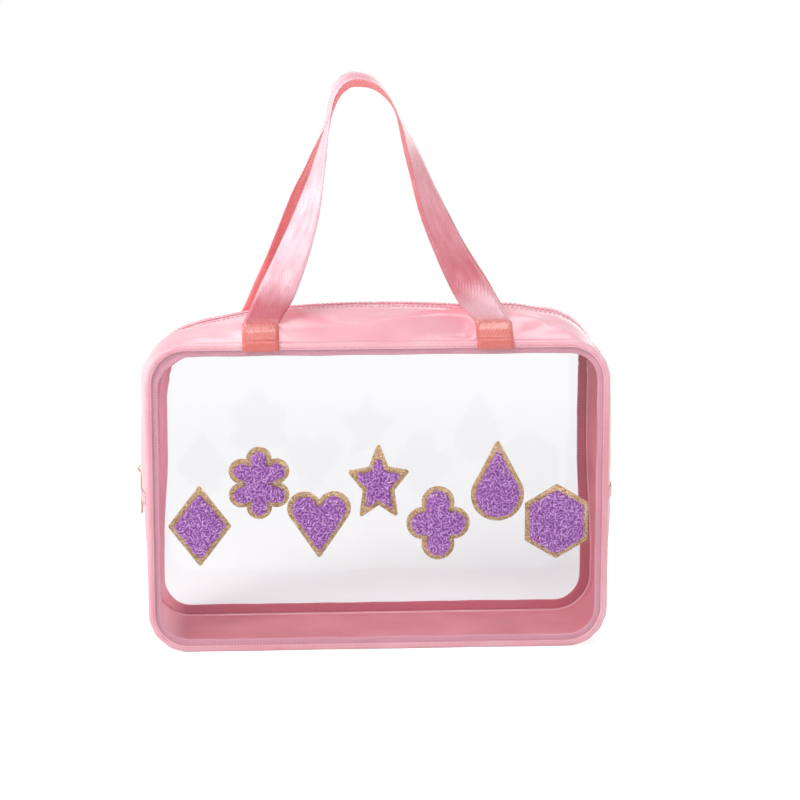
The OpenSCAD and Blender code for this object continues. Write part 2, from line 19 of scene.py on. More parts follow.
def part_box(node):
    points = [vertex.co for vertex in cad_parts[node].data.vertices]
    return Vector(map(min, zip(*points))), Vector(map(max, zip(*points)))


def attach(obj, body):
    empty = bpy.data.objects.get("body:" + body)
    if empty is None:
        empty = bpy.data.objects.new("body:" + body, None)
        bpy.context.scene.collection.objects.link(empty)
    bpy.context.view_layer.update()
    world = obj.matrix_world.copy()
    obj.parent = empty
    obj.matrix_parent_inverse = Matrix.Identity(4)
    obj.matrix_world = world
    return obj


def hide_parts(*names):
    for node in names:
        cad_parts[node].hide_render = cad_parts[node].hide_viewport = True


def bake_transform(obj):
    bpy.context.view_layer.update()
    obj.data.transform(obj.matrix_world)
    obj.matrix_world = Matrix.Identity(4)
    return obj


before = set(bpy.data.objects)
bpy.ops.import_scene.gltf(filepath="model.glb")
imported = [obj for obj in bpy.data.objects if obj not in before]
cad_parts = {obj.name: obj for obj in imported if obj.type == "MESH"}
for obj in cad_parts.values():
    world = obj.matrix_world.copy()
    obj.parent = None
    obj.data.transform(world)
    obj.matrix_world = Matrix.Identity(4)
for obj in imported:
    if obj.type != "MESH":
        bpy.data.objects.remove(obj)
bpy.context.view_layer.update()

MM = 0.001
LOG = logging.getLogger("zip_case")
Rgba = tuple[float, float, float, float]
Array = np.ndarray
Piece = bpy.types.Object
Socket = bpy.types.NodeSocket
Tree = bpy.types.NodeTree
Inputs = dict[str, object]
WAVE_TURN = 6.283  # a wave texture at scale 1 repeats this often in a unit
WHITE = "ffffff"
PAINTED_LIGHT_WALL = "fbb4c4"  # painted light: the colour that the left wall's cloth is lightened towards


class Half(Enum):
    """The front and back of the case, by the sign of y."""

    FRONT = -1
    BACK = 1

    @property
    def word(self) -> str:
        """The word that node names use."""
        return self.name.lower()


class Side(Enum):
    """The left and right of the case seen from the front, by the sign of x."""

    LEFT = -1
    RIGHT = 1

    @property
    def word(self) -> str:
        """The word that node names use."""
        return self.name.lower()


# ---------------------------------------------------------------- materials


def linear(code: str) -> Rgba:
    """Turns an sRGB hex colour to linear light.

    Args:
        code: Six hex digits.

    Returns:
        The linear colour with full alpha.
    """
    parts = [int(code[i : i + 2], 16) / 255 for i in (0, 2, 4)]
    red, green, blue = (c / 12.92 if c <= 0.04045 else ((c + 0.055) / 1.055) ** 2.4 for c in parts)
    return (red, green, blue, 1.0)


def add_node(tree: Tree, kind: str, inputs: Optional[dict] = None, **settings) -> bpy.types.Node:
    """Adds a shader node with its settings and links.

    Args:
        tree: The material's node tree.
        kind: The node's type, without its ShaderNode prefix.
        inputs: Values or sockets, by the input's name or number.
        settings: The node's own properties.

    Returns:
        The new node.
    """
    node = tree.nodes.new("ShaderNode" + kind)
    for name, value in settings.items():
        setattr(node, name, value)
    for name, value in (inputs or {}).items():
        if isinstance(value, Socket):
            tree.links.new(value, node.inputs[name])
        else:
            node.inputs[name].default_value = value
    return node


def per_mm(size_mm: float) -> float:
    """The scale of a noise or cell texture whose patches are size_mm across."""
    return 1 / (size_mm * MM)


def bands(pitch_mm: float) -> float:
    """The scale of a wave texture whose bands are pitch_mm apart."""
    return per_mm(pitch_mm) / WAVE_TURN


class Finish:
    """A surface finish that builds its material once."""

    name = "finish"
    slot = "coated_fabric"
    _made: dict[str, bpy.types.Material] = {}

    def material(self) -> bpy.types.Material:
        """Returns the finish's material, built the first time."""
        if self.name not in Finish._made:
            made = bpy.data.materials.new(self.name)
            made.use_nodes = True
            made.node_tree.nodes.clear()
            surface = self.surface(made.node_tree)
            add_node(made.node_tree, "OutputMaterial", {"Surface": surface})
            Finish._made[self.name] = made
        return Finish._made[self.name]

    def inputs(self, tree: Tree) -> Inputs:
        """Builds the textures and returns what the surface shader takes from them."""
        raise NotImplementedError

    def surface(self, tree: Tree) -> Socket:
        """Builds the shader and returns its output."""
        return add_node(tree, "BsdfPrincipled", self.inputs(tree)).outputs["BSDF"]

    @staticmethod
    def place(tree: Tree, scale: Sequence[float] = (1, 1, 1), along: bool = False) -> Socket:
        """Gives a texture its coordinates.

        Args:
            tree: The material's node tree.
            scale: Stretch of the coordinates on each axis.
            along: True for the piece's own run and width in metres, False for the case's own space.

        Returns:
            The scaled coordinates.
        """
        if along:
            source = add_node(tree, "UVMap", uv_map="run").outputs["UV"]
        else:
            source = add_node(tree, "TexCoord").outputs["Object"]
        return add_node(tree, "Mapping", {"Vector": source, "Scale": scale}).outputs["Vector"]

    @staticmethod
    def blotch(tree: Tree, vector: Socket, size_mm: float, detail: float = 3.0) -> Socket:
        """Noise whose patches are size_mm across."""
        return add_node(
            tree, "TexNoise", {"Vector": vector, "Scale": per_mm(size_mm), "Detail": detail}
        ).outputs["Fac"]

    @staticmethod
    def ramp(tree: Tree, value: Socket, stops: Sequence[tuple[float, str]]) -> Socket:
        """Colours a value by hex stops."""
        node = add_node(tree, "ValToRGB", {"Fac": value})
        elements = node.color_ramp.elements
        while len(elements) < len(stops):
            elements.new(0.5)
        for element, (place, code) in zip(elements, stops):
            element.position = place
            element.color = linear(code)
        return node.outputs["Color"]

    @staticmethod
    def either(tree: Tree, share: Socket, first: object, second: object) -> Socket:
        """Mixes two colours by a share of the second."""
        return add_node(
            tree, "MixRGB", {"Fac": share, "Color1": first, "Color2": second}
        ).outputs["Color"]

    @staticmethod
    def spread(tree: Tree, value: Socket, low: float, high: float) -> Socket:
        """Maps 0..1 to low..high."""
        return add_node(
            tree, "MapRange", {"Value": value, "To Min": low, "To Max": high}
        ).outputs["Result"]

    @staticmethod
    def paint_left_light(tree: Tree, colour: Socket, share: float) -> Socket:
        """Paints light onto a colour by a share at the case's left wall, which takes the light."""
        x = add_node(tree, "SeparateXYZ", {"Vector": Finish.place(tree)}).outputs["X"]
        near = add_node(
            tree, "MapRange", {"Value": x, "From Min": -0.135, "From Max": -0.15, "To Max": share}
        ).outputs["Result"]
        return add_node(
            tree, "MixRGB", {"Fac": near, "Color1": colour, "Color2": linear(PAINTED_LIGHT_WALL)}
        ).outputs["Color"]

    @staticmethod
    def bump(
        tree: Tree,
        height: Socket,
        depth_mm: float,
        under: Optional[Socket] = None,
        strength: float = 1.0,
    ) -> Socket:
        """Turns a 0..1 height to a normal, depth_mm deep."""
        inputs = {"Height": height, "Distance": depth_mm * MM, "Strength": strength}
        if under is not None:
            inputs["Normal"] = under
        return add_node(tree, "Bump", inputs).outputs["Normal"]


@dataclass(frozen=True)
class CoatedFabric(Finish):
    """Polyester cloth with a calendered polyurethane coat: soft gloss, faint grain, pale glare."""

    name: str = "pu_coated_polyester_calendered"
    slot: str = "coated_fabric"
    deep: str = "efa2b0"
    mid: str = "f7b6c2"
    pale: str = "fccad3"
    grain_mm: float = 0.9  # drawn coarser than the real 0.5 mm, so that it shows

    def inputs(self, tree: Tree) -> Inputs:
        """Builds the coated cloth."""
        flat = self.place(tree)
        tone = self.blotch(tree, flat, 60, 4)
        colour = self.ramp(tree, tone, [(0.3, self.deep), (0.52, self.mid), (0.75, self.pale)])
        rough = self.spread(tree, self.blotch(tree, flat, 22), 0.3, 0.46)
        cells = add_node(
            tree,
            "TexVoronoi",
            {"Vector": flat, "Scale": per_mm(self.grain_mm)},
            feature="SMOOTH_F1",
        )
        grain = self.bump(tree, cells.outputs["Distance"], 0.05)
        crease = self.bump(tree, self.blotch(tree, flat, 9, 5), 0.35, grain, 0.5)
        return {
            "Base Color": colour,
            "Roughness": rough,
            "Normal": crease,
            "IOR": 1.5,
            "Coat Weight": 0.75,
            "Coat Roughness": 0.2,
            "Sheen Weight": 0.3,
            "Sheen Roughness": 0.35,
            "Subsurface Weight": 0.2,
            "Subsurface Radius": (1.0, 0.6, 0.6),
            "Subsurface Scale": 1.2 * MM,
        }


@dataclass(frozen=True)
class TricotLining(Finish):
    """The cloth side of the coated fabric: fine knitted wales, matt, deeper in colour, partly as
    painted shade of the case's inside, and paler on the left wall by painted light."""

    name: str = "polyester_tricot_backing_knitted"
    slot: str = "coated_fabric"
    deep: str = "c0455d"
    pale: str = "d86f81"
    wale_mm: float = 1.4  # drawn twice the real width

    def inputs(self, tree: Tree) -> Inputs:
        """Builds the knitted backing."""
        run = self.place(tree, along=True)
        wale = add_node(
            tree, "TexWave",
            {"Vector": run, "Scale": bands(self.wale_mm), "Distortion": 0.6, "Detail": 1.0},
            bands_direction="Y"
        ).outputs["Fac"]
        tone = self.blotch(tree, self.place(tree), 40, 4)
        # partly painted shade: the deep rose is the backing's colour and also stands for the shade
        # inside the case
        colour = self.ramp(tree, tone, [(0.3, self.deep), (0.75, self.pale)])
        # painted light on the left wall
        colour = self.paint_left_light(tree, colour, 1.0)
        return {
            "Base Color": colour,
            "Roughness": self.spread(tree, tone, 0.62, 0.8),
            "Normal": self.bump(tree, wale, 0.12),
            "Sheen Weight": 0.25,
            "Sheen Roughness": 0.5,
            "Subsurface Weight": 0.35,
            "Subsurface Radius": (1.0, 0.4, 0.4),
            "Subsurface Scale": 1.5 * MM,
        }


@dataclass(frozen=True)
class WovenTape(Finish):
    """Narrow woven polyester: ribs across the tape and a dull sheen."""

    name: str = "polyester_tape_woven"
    slot: str = "binding"
    deep: str = "cc8799"
    pale: str = "e09dac"
    rib_mm: float = 1.0  # drawn coarser than the real 0.7 mm
    sheen: float = 0.2
    # share of painted light towards the left wall's colour
    lit: float = 0.0

    def inputs(self, tree: Tree) -> Inputs:
        """Builds the ribbed weave."""
        run = self.place(tree, along=True)
        scale = bands(self.rib_mm)
        ribs = add_node(
            tree, "TexWave", {"Vector": run, "Scale": scale, "Distortion": 0.4}, bands_direction="X"
        ).outputs["Fac"]
        ends = add_node(
            tree,
            "TexWave",
            {"Vector": run, "Scale": scale * 1.7, "Distortion": 0.3},
            bands_direction="Y",
        ).outputs["Fac"]
        weave = add_node(tree, "Math", {0: ribs, 1: ends}, operation="MULTIPLY").outputs[0]
        colour = self.ramp(tree, weave, [(0.0, self.deep), (0.7, self.pale)])
        colour = self.paint_left_light(tree, colour, self.lit)
        return {
            "Base Color": colour,
            "Roughness": self.spread(tree, weave, 0.72, 0.55),
            "Normal": self.bump(tree, weave, 0.1),
            "Sheen Weight": self.sheen,
            "Sheen Roughness": 0.45,
        }


@dataclass(frozen=True)
class ClearFilm(Finish):
    """Polished flexible vinyl sheet: clear, with the faint waviness of a rolled film."""

    name: str = "flexible_vinyl_film_polished"
    slot: str = "clear_film"
    gloss: float = 0.35

    def inputs(self, tree: Tree) -> Inputs:
        """Builds the polished film."""
        flat = self.place(tree, (1, 1, 0.35))
        waves = self.bump(tree, self.blotch(tree, flat, 38, 1.5), 0.5, strength=0.35)
        return {
            "Base Color": linear("fdfdfe"),
            "Roughness": self.spread(tree, self.blotch(tree, flat, 15), 0.015, 0.05),
            "Normal": waves,
            "IOR": 1.45,
            "Specular IOR Level": self.gloss,
            "Transmission Weight": 1.0,
        }

    def surface(self, tree: Tree) -> Socket:
        """Lets lamp light through the film to what is behind it."""
        glass = super().surface(tree)
        clear = add_node(tree, "BsdfTransparent", {"Color": linear("fbfbfc")}).outputs["BSDF"]
        lamp_ray = add_node(tree, "LightPath").outputs["Is Shadow Ray"]
        return add_node(tree, "MixShader", {0: lamp_ray, 1: glass, 2: clear}).outputs["Shader"]


@dataclass(frozen=True)
class SatinWebbing(Finish):
    """Nylon satin webbing: floats that glare along the strap, fine twill, coral in the shade, and
    painted light and shade in its colour along the run and across the loop.
    """

    name: str = "nylon_satin_webbing_woven"
    slot: str = "webbing"
    # painted light and shade: lit tones for the loop's left leg, shaded tones for its right leg
    lit_tones: tuple[tuple[float, str], ...] = ((0.25, "e69baa"), (0.5, "f2bac6"), (0.8, "fbd9e0"))
    shade_tones: tuple[tuple[float, str], ...] = (
        (0.25, "cf6070"), (0.5, "dc7484"), (0.8, "e68f9c")
    )
    # the feet's coral, where no painted glare lies, then a band of painted shade where the left leg
    # turns up and a painted highlight where the right leg does
    pressed: str = "dc746c"
    turned: str = "cf6272"
    painted_glare_right: str = "e9b0bc"
    # how far up the run the painted bands reach, and how ragged their edge is
    fade_mm: float = 46.0
    ragged_mm: float = 12.0
    lustre: float = 0.8
    dressing: float = 0.5
    twill_mm: float = 1.1  # drawn coarser than the real 0.6 mm

    def inputs(self, tree: Tree) -> Inputs:
        """Builds the satin weave with its glare along the run, and its painted light and shade."""
        turned = add_node(
            tree,
            "Mapping",
            {
                "Vector": add_node(tree, "UVMap", uv_map="run").outputs["UV"],
                "Rotation": (0, 0, math.radians(63)),
            },
        ).outputs["Vector"]
        twill = add_node(
            tree, "TexWave", {"Vector": turned, "Scale": bands(self.twill_mm), "Distortion": 0.35}
        ).outputs["Fac"]
        streak = self.blotch(tree, self.place(tree, (0.3, 1, 1), along=True), 6, 3)
        crease = self.blotch(tree, self.place(tree, (1, 0.35, 1), along=True), 11, 3)
        # painted light and shade across the loop: the left leg in the lit tones, the right leg in
        # the shaded tones
        x = add_node(tree, "SeparateXYZ", {"Vector": self.place(tree)}).outputs["X"]
        right = add_node(
            tree, "MapRange", {"Value": x, "From Min": -0.03, "From Max": 0.03}
        ).outputs["Result"]
        colour = self.either(
            tree,
            right,
            self.ramp(tree, streak, self.lit_tones),
            self.ramp(tree, streak, self.shade_tones),
        )
        # painted bands along the run: coral at the feet, painted shade where the left leg turns up,
        # a painted highlight where the right leg does
        run = add_node(
            tree, "SeparateXYZ", {"Vector": add_node(tree, "UVMap", uv_map="run").outputs["UV"]}
        ).outputs["X"]
        ragged = add_node(
            tree,
            "Math",
            {
                0: self.blotch(tree, self.place(tree, (0.5, 1.6, 1), along=True), 7, 4),
                1: self.ragged_mm * MM,
                2: run,
            },
            operation="MULTIPLY_ADD",
        ).outputs[0]
        height = add_node(
            tree, "MapRange", {"Value": ragged, "From Max": self.fade_mm * MM}
        ).outputs["Result"]
        turned = self.either(tree, right, linear(self.turned), linear(self.painted_glare_right))
        coral = self.ramp(tree, height, [(0.26, "ffffff"), (0.42, "000000")])
        foot = self.either(tree, coral, turned, linear(self.pressed))
        share = self.ramp(tree, height, [(0.0, "ffffff"), (0.62, "ffffff"), (1.0, "000000")])
        colour = self.either(tree, share, colour, foot)
        relief = self.bump(tree, crease, 1.2, self.bump(tree, twill, 0.07), 0.6)
        return {
            "Base Color": colour,
            "Roughness": self.spread(tree, streak, 0.2, 0.34),
            "Normal": relief,
            "IOR": 1.55,
            "Specular IOR Level": self.lustre,
            "Anisotropic": 0.6,
            "Tangent": add_node(
                tree, "Tangent", direction_type="UV_MAP", uv_map="run"
            ).outputs["Tangent"],
            "Sheen Weight": 0.12,
            "Sheen Roughness": 0.3,
            "Coat Weight": self.dressing,
            "Coat Roughness": 0.22,
        }


@dataclass(frozen=True)
class WebbingBack(Finish):
    """The webbing's back, where the weft shows: plain ribs, matt, stronger in colour."""

    name: str = "nylon_webbing_back_ribbed"
    slot: str = "webbing"
    deep: str = "f07a80"
    pale: str = "ff9a9c"
    rib_mm: float = 1.3  # drawn coarser than the real 0.8 mm

    def inputs(self, tree: Tree) -> Inputs:
        """Builds the ribbed back."""
        run = self.place(tree, along=True)
        ribs = add_node(
            tree, "TexWave", {"Vector": run, "Scale": bands(self.rib_mm), "Distortion": 0.4}
        ).outputs["Fac"]
        tone = self.blotch(tree, self.place(tree, (0.4, 1, 1), along=True), 9, 3)
        return {
            "Base Color": self.ramp(tree, tone, [(0.3, self.deep), (0.7, self.pale)]),
            "Roughness": self.spread(tree, tone, 0.5, 0.62),
            "Normal": self.bump(tree, ribs, 0.1),
            "Sheen Weight": 0.2,
            "Sheen Roughness": 0.4,
        }


@dataclass(frozen=True)
class MouldedTeeth(Finish):
    """Injection-moulded acetal: smooth, waxy, with a small soft highlight."""

    name: str = "acetal_moulded"
    slot: str = "zip_teeth"
    deep: str = "f3b6c2"
    pale: str = "fcd5dc"

    def inputs(self, tree: Tree) -> Inputs:
        """Builds the moulded plastic."""
        flat = self.place(tree)
        tone = self.blotch(tree, flat, 6)
        return {
            "Base Color": self.ramp(tree, tone, [(0.3, self.deep), (0.7, self.pale)]),
            "Roughness": self.spread(tree, tone, 0.24, 0.36),
            "Normal": self.bump(tree, self.blotch(tree, flat, 0.5), 0.03),
            "IOR": 1.48,
            "Coat Weight": 0.2,
        }


@dataclass(frozen=True)
class PlatedZamak(Finish):
    """Die-cast zinc with a pale gold plate, barrel polished: soft edges and hairline rubs."""

    name: str = "zinc_alloy_gold_plated_polished"
    slot: str = "slider_metal"
    deep: str = "cfae96"
    pale: str = "ecd5c2"

    def inputs(self, tree: Tree) -> Inputs:
        """Builds the plated metal."""
        flat = self.place(tree)
        rubs = self.blotch(tree, self.place(tree, (1, 1, 0.08)), 0.35, 4)
        tone = self.blotch(tree, flat, 5)
        return {
            "Base Color": self.ramp(tree, tone, [(0.3, self.deep), (0.7, self.pale)]),
            "Metallic": 1.0,
            "Roughness": self.spread(tree, rubs, 0.2, 0.36),
            "Normal": self.bump(tree, rubs, 0.02),
        }


@dataclass(frozen=True)
class GlitterFelt(Finish):
    """Stiff felt with a sprinkled glitter film: gold flakes that each face their own way."""

    name: str = "glitter_felt_sprinkled"
    slot: str = "glitter_backing"
    flake_mm: float = 0.75  # drawn coarser than the real 0.4 mm

    def inputs(self, tree: Tree) -> Inputs:
        """Builds the flakes."""
        flat = self.place(tree)
        flakes = add_node(tree, "TexVoronoi", {"Vector": flat, "Scale": per_mm(self.flake_mm)})
        shade = add_node(tree, "SeparateColor", {"Color": flakes.outputs["Color"]}).outputs["Red"]
        colour = self.ramp(
            tree, shade, [(0.0, "866a4c"), (0.35, "b99268"), (0.75, "d6b28a"), (1.0, "f4e0c6")]
        )
        tilt = self.bump(tree, shade, 0.5, strength=0.7)
        return {
            "Base Color": colour,
            "Metallic": 0.55,
            "Roughness": self.spread(tree, shade, 0.5, 0.25),
            "Normal": tilt,
        }


@dataclass(frozen=True)
class BackingFelt(Finish):
    """White needled felt behind a patch, with the rows of thread that hold the pile."""

    name: str = "polyester_felt_needled"
    slot: str = "glitter_backing"
    stitch_mm: float = 2.4

    def inputs(self, tree: Tree) -> Inputs:
        """Builds the felt."""
        flat = self.place(tree)
        fibre = self.blotch(tree, flat, 1.6, 5)
        rows = add_node(
            tree,
            "TexWave",
            {"Vector": flat, "Scale": bands(self.stitch_mm), "Distortion": 3.0, "Detail": 2.0},
            bands_direction="Z",
        ).outputs["Fac"]
        thread = add_node(tree, "Math", {0: fibre, 1: rows}, operation="MULTIPLY").outputs[0]
        return {
            "Base Color": self.ramp(
                tree, thread, [(0.0, "e2cfe2"), (0.25, "f3ebf2"), (0.6, "fdfafc")]
            ),
            "Roughness": self.spread(tree, fibre, 0.8, 0.95),
            "Normal": self.bump(tree, thread, 0.35),
            "Sheen Weight": 0.3,
        }


@dataclass(frozen=True)
class ChenilleYarn(Finish):
    """Acrylic chenille yarn in cut loops: dense, soft, bright at the tips and dark between, where a
    darker copy of the yarn under the loops is painted shade.
    """

    name: str = "acrylic_chenille_tufted"
    slot: str = "looped_pile"
    deep: str = "ae68c2"
    mid: str = "ce8edc"
    pale: str = "f3d2f8"

    def inputs(self, tree: Tree) -> Inputs:
        """Builds the yarn."""
        flat = self.place(tree)
        tone = self.blotch(tree, flat, 2.6, 4)
        return {
            "Base Color": self.ramp(
                tree, tone, [(0.28, self.deep), (0.5, self.mid), (0.74, self.pale)]
            ),
            "Roughness": self.spread(tree, tone, 0.62, 0.5),
            "Normal": self.bump(tree, self.blotch(tree, flat, 0.35, 2), 0.16),
            "Sheen Weight": 0.55,
            "Sheen Roughness": 0.35,
            "Sheen Tint": linear("e9d2f5"),
        }


@dataclass(frozen=True)
class SewingThread(Finish):
    """Three-ply polyester sewing thread: a small twist and a silky light."""

    name: str = "polyester_thread_twisted"
    slot: str = "binding"
    deep: str = "e08b9b"
    pale: str = "f6bac5"

    def inputs(self, tree: Tree) -> Inputs:
        """Builds the thread."""
        flat = self.place(tree)
        ply = add_node(
            tree, "TexWave", {"Vector": flat, "Scale": bands(0.5)}, bands_direction="DIAGONAL"
        ).outputs["Fac"]
        return {
            "Base Color": self.ramp(tree, ply, [(0.2, self.deep), (0.8, self.pale)]),
            "Roughness": self.spread(tree, ply, 0.5, 0.36),
            "Normal": self.bump(tree, ply, 0.08),
            "Sheen Weight": 0.2,
        }


@dataclass(frozen=True)
class PaperSweep(Finish):
    """Matt white background paper, rolled out under and behind the case."""

    name: str = "background_paper_matt"
    slot: str = ""
    near_m: float = 0.35
    far_m: float = 0.8
    lift: float = 0.55

    def surface(self, tree: Tree) -> Socket:
        """Builds the paper, which shows white to the camera outside the shadow."""
        fibre = self.blotch(tree, self.place(tree), 3)
        paper = add_node(
            tree,
            "BsdfDiffuse",
            {"Color": self.ramp(tree, fibre, [(0.0, "f6f6f6"), (1.0, "fdfdfd")]), "Roughness": 0.6},
        ).outputs["BSDF"]
        place = add_node(tree, "TexCoord").outputs["Object"]
        away = add_node(tree, "VectorMath", {0: place}, operation="LENGTH").outputs["Value"]
        far = add_node(
            tree, "MapRange", {"Value": away, "From Min": self.near_m, "From Max": self.far_m}
        ).outputs["Result"]
        seen = add_node(tree, "LightPath").outputs["Is Camera Ray"]
        lift = add_node(tree, "Math", {0: seen, 1: self.lift}, operation="MULTIPLY").outputs[0]
        glow = add_node(
            tree, "Emission", {"Color": linear(WHITE), "Strength": lift}
        ).outputs["Emission"]
        near = add_node(tree, "AddShader", {0: paper, 1: glow}).outputs["Shader"]
        white = add_node(
            tree, "Emission", {"Color": linear(WHITE), "Strength": 1.0}
        ).outputs["Emission"]
        return add_node(tree, "MixShader", {0: far, 1: near, 2: white}).outputs["Shader"]


COATED = CoatedFabric()
LINING = TricotLining()
BINDING = WovenTape()
# painted shade: a darker copy of the binding for the back half, seen inside the case, with painted
# light on its left wall
BINDING_PAINTED_SHADE = WovenTape(
    name="polyester_tape_woven_inside", deep="b8465f", pale="cd647c", lit=1.0
)
ZIP_TAPE = WovenTape(
    name="polyester_zip_tape_woven", slot="zip_tape", deep="f0a9b7", pale="fbc6d0", rib_mm=1.0
)
FILM = ClearFilm()
FILM_BEHIND = ClearFilm(name="flexible_vinyl_film_matt_side_in", gloss=0.05)
WEBBING = SatinWebbing()
WEBBING_BACK = WebbingBack()
WEBBING_PRESSED = SatinWebbing(
    name="nylon_satin_webbing_pressed", fade_mm=400.0, lustre=0.4, dressing=0.05
)
TEETH = MouldedTeeth()
GOLD = PlatedZamak()
GLITTER = GlitterFelt()
FELT = BackingFelt()
PILE = ChenilleYarn()
# painted shade: a darker copy of the yarn for the body under the loops
PILE_PAINTED_SHADE = ChenilleYarn(name="acrylic_chenille_roots", deep="854a94", mid="9a5aa8", pale="ad6cba")
THREAD = SewingThread()


# ---------------------------------------------------------------- mesh tools


def ease(t: Array | float) -> Array:
    """A smooth step from 0 to 1."""
    c = np.clip(t, 0.0, 1.0)
    return c * c * (3 - 2 * c)


def unit(v: Array) -> Array:
    """Scales vectors to length 1."""
    return v / np.maximum(np.linalg.norm(v, axis=-1, keepdims=True), 1e-12)


def run_lengths(points: Array) -> Array:
    """Distance along a line of points to each of them."""
    return np.concatenate([[0.0], np.cumsum(np.linalg.norm(np.diff(points, axis=0), axis=1))])


def mean_widths(grid: Array) -> Array:
    """Mean distance across a grid's rows to each of its columns."""
    return np.concatenate(
        [[0.0], np.cumsum(np.linalg.norm(np.diff(grid, axis=1), axis=2).mean(axis=0))]
    )


def on_line(places: Array, lengths: Array, values: Array) -> Array:
    """Vectors given along a line, read off at places by length."""
    return np.stack([np.interp(places, lengths, values[:, k]) for k in range(3)], axis=1)


def linked(name: str, data: bpy.types.ID) -> Piece:
    """A new object in the scene."""
    made = bpy.data.objects.new(name, data)
    bpy.context.scene.collection.objects.link(made)
    return made


def tube_faces(rings: int, sides: int) -> list[tuple[int, ...]]:
    """Faces of a closed tube of rings, with a cap at each end."""
    faces = []
    for i in range(rings - 1):
        for j in range(sides):
            k = (j + 1) % sides
            faces.append((i * sides + j, i * sides + k, (i + 1) * sides + k, (i + 1) * sides + j))
    faces.append(tuple(reversed(range(sides))))
    faces.append(tuple((rings - 1) * sides + j for j in range(sides)))
    return faces


def settle(points: Array) -> Array:
    """Lets the back of the left top corner sink in, and the sides of the back lean in under it, as
    the empty upper half of the case does in the photograph.

    Args:
        points: Points in millimetres.

    Returns:
        The points, moved by up to 10 mm.
    """
    x, y, z = points[..., 0], points[..., 1], points[..., 2]
    sink_in, sink_down, lean_left, lean_right = 6.5, 4.2, 4.5, 4.0
    sink_from, sink_to, zip_calm = 158, 204, 30
    left, rear = ease((-x - 112) / 36), ease((y + 46) / 80)
    lean = ease((y - 9) / 34) * ease((z - 40) / 90) * ease((215 - z) / 30)
    # it starts higher beside the zip, so that the slider's run stays straight
    start = sink_from + zip_calm * ease((31 - np.abs(y)) / 18)
    end = sink_to + 0.25 * (start - sink_from)
    moved = np.array(points, float)
    moved[..., 0] += sink_in * left * rear * ease((z - start) / (end - start))
    moved[..., 0] += lean_left * lean * ease((-x - 135) / 20)
    moved[..., 0] -= lean_right * lean * ease((x - 135) / 20)
    moved[..., 2] -= sink_down * left * rear * ease((z - 187) / 20)
    return moved


def make_object(
    name: str,
    points_mm: Array,
    faces: list,
    finishes: Sequence[Finish],
    face_finish: Optional[Sequence[int]] = None,
    uvs: Optional[Sequence] = None,
    smooth: bool = True,
) -> Piece:
    """Makes a mesh object in the case's frame.

    Args:
        name: The piece's name.
        points_mm: Vertices in millimetres.
        faces: Vertex numbers of each face.
        finishes: The finishes on the mesh.
        face_finish: Each face's place in finishes.
        uvs: Each face corner's run and width in metres, face after face.
        smooth: True for smooth shading.

    Returns:
        The linked object.
    """
    mesh = bpy.data.meshes.new(name)
    mesh.from_pydata((settle(np.asarray(points_mm, float)) * MM).tolist(), [], faces)
    for finish in finishes:
        mesh.materials.append(finish.material())
    if face_finish is not None:
        mesh.polygons.foreach_set("material_index", np.asarray(face_finish, np.int32))
    layer = mesh.uv_layers.new(name="run")
    if uvs is not None:
        layer.data.foreach_set("uv", np.asarray(uvs, np.float32).ravel())
    mesh.polygons.foreach_set("use_smooth", [smooth] * len(mesh.polygons))
    mesh.update()
    if signed_volume(mesh) < 0:
        mesh.flip_normals()
    piece = linked(name, mesh)
    return piece


def signed_volume(mesh: bpy.types.Mesh) -> float:
    """The volume inside a closed mesh, negative if its faces look inwards."""
    mesh.calc_loop_triangles()
    co = np.empty(len(mesh.vertices) * 3)
    mesh.vertices.foreach_get("co", co)
    co = co.reshape(-1, 3)
    tri = np.empty(len(mesh.loop_triangles) * 3, np.int32)
    mesh.loop_triangles.foreach_get("vertices", tri)
    a, b, c = (co[tri.reshape(-1, 3)[:, k]] for k in range(3))
    return float(np.einsum("ij,ij->i", a, np.cross(b, c)).sum() / 6)


def loft(
    name: str,
    loops: Array,
    finishes: Sequence[Finish],
    across: Array,
    ring: bool = False,
    segment_finish: Optional[Sequence[int]] = None,
    flat_caps: bool = True,
    from_both_ends: bool = False,
) -> Piece:
    """Skins a row of closed sections.

    Args:
        name: The piece's name.
        loops: Sections in millimetres, as (rows, points of a section, 3).
        finishes: The finishes on the mesh.
        across: Each section point's distance across the piece, in millimetres.
        ring: True if the last section joins the first.
        segment_finish: The finish of each segment of the section.
        flat_caps: True to cap the ends of a slab's section with a row of quads.
        from_both_ends: True to count the run from the nearer end.

    Returns:
        The piece.
    """
    rows, count = loops.shape[:2]
    middle = loops.mean(axis=1)
    run = run_lengths(np.vstack([middle, middle[:1]])) * MM
    if from_both_ends:
        run = np.minimum(run, run[rows - 1] - run)
    wide = np.asarray(across, float) * MM
    faces, kinds, uvs = [], [], []
    for i in range(rows if ring else rows - 1):
        a, b = i * count, ((i + 1) % rows) * count
        for j in range(count):
            k = (j + 1) % count
            faces.append((a + j, a + k, b + k, b + j))
            kinds.append(segment_finish[j] if segment_finish is not None else 0)
            uvs += [
                (run[i], wide[j]), (run[i], wide[k]), (run[i + 1], wide[k]), (run[i + 1], wide[j])
            ]
    caps = []
    if not ring:
        half = count // 2
        for row, turn in ((0, 1), (rows - 1, -1)):
            start = row * count
            if flat_caps and count % 2 == 0:
                quads = [(j, count - 1 - j, count - 2 - j, j + 1) for j in range(half - 1)]
            else:
                quads = [tuple(reversed(range(count)))]
            for quad in quads:
                corners = quad[::turn]
                caps.append(len(faces))
                faces.append(tuple(start + j for j in corners))
                kinds.append(0)
                uvs += [(run[row], wide[j]) for j in corners]
    piece = make_object(name, loops.reshape(-1, 3), faces, finishes, kinds, uvs)
    if caps:
        sharpen_caps(piece.data, caps)
    return piece


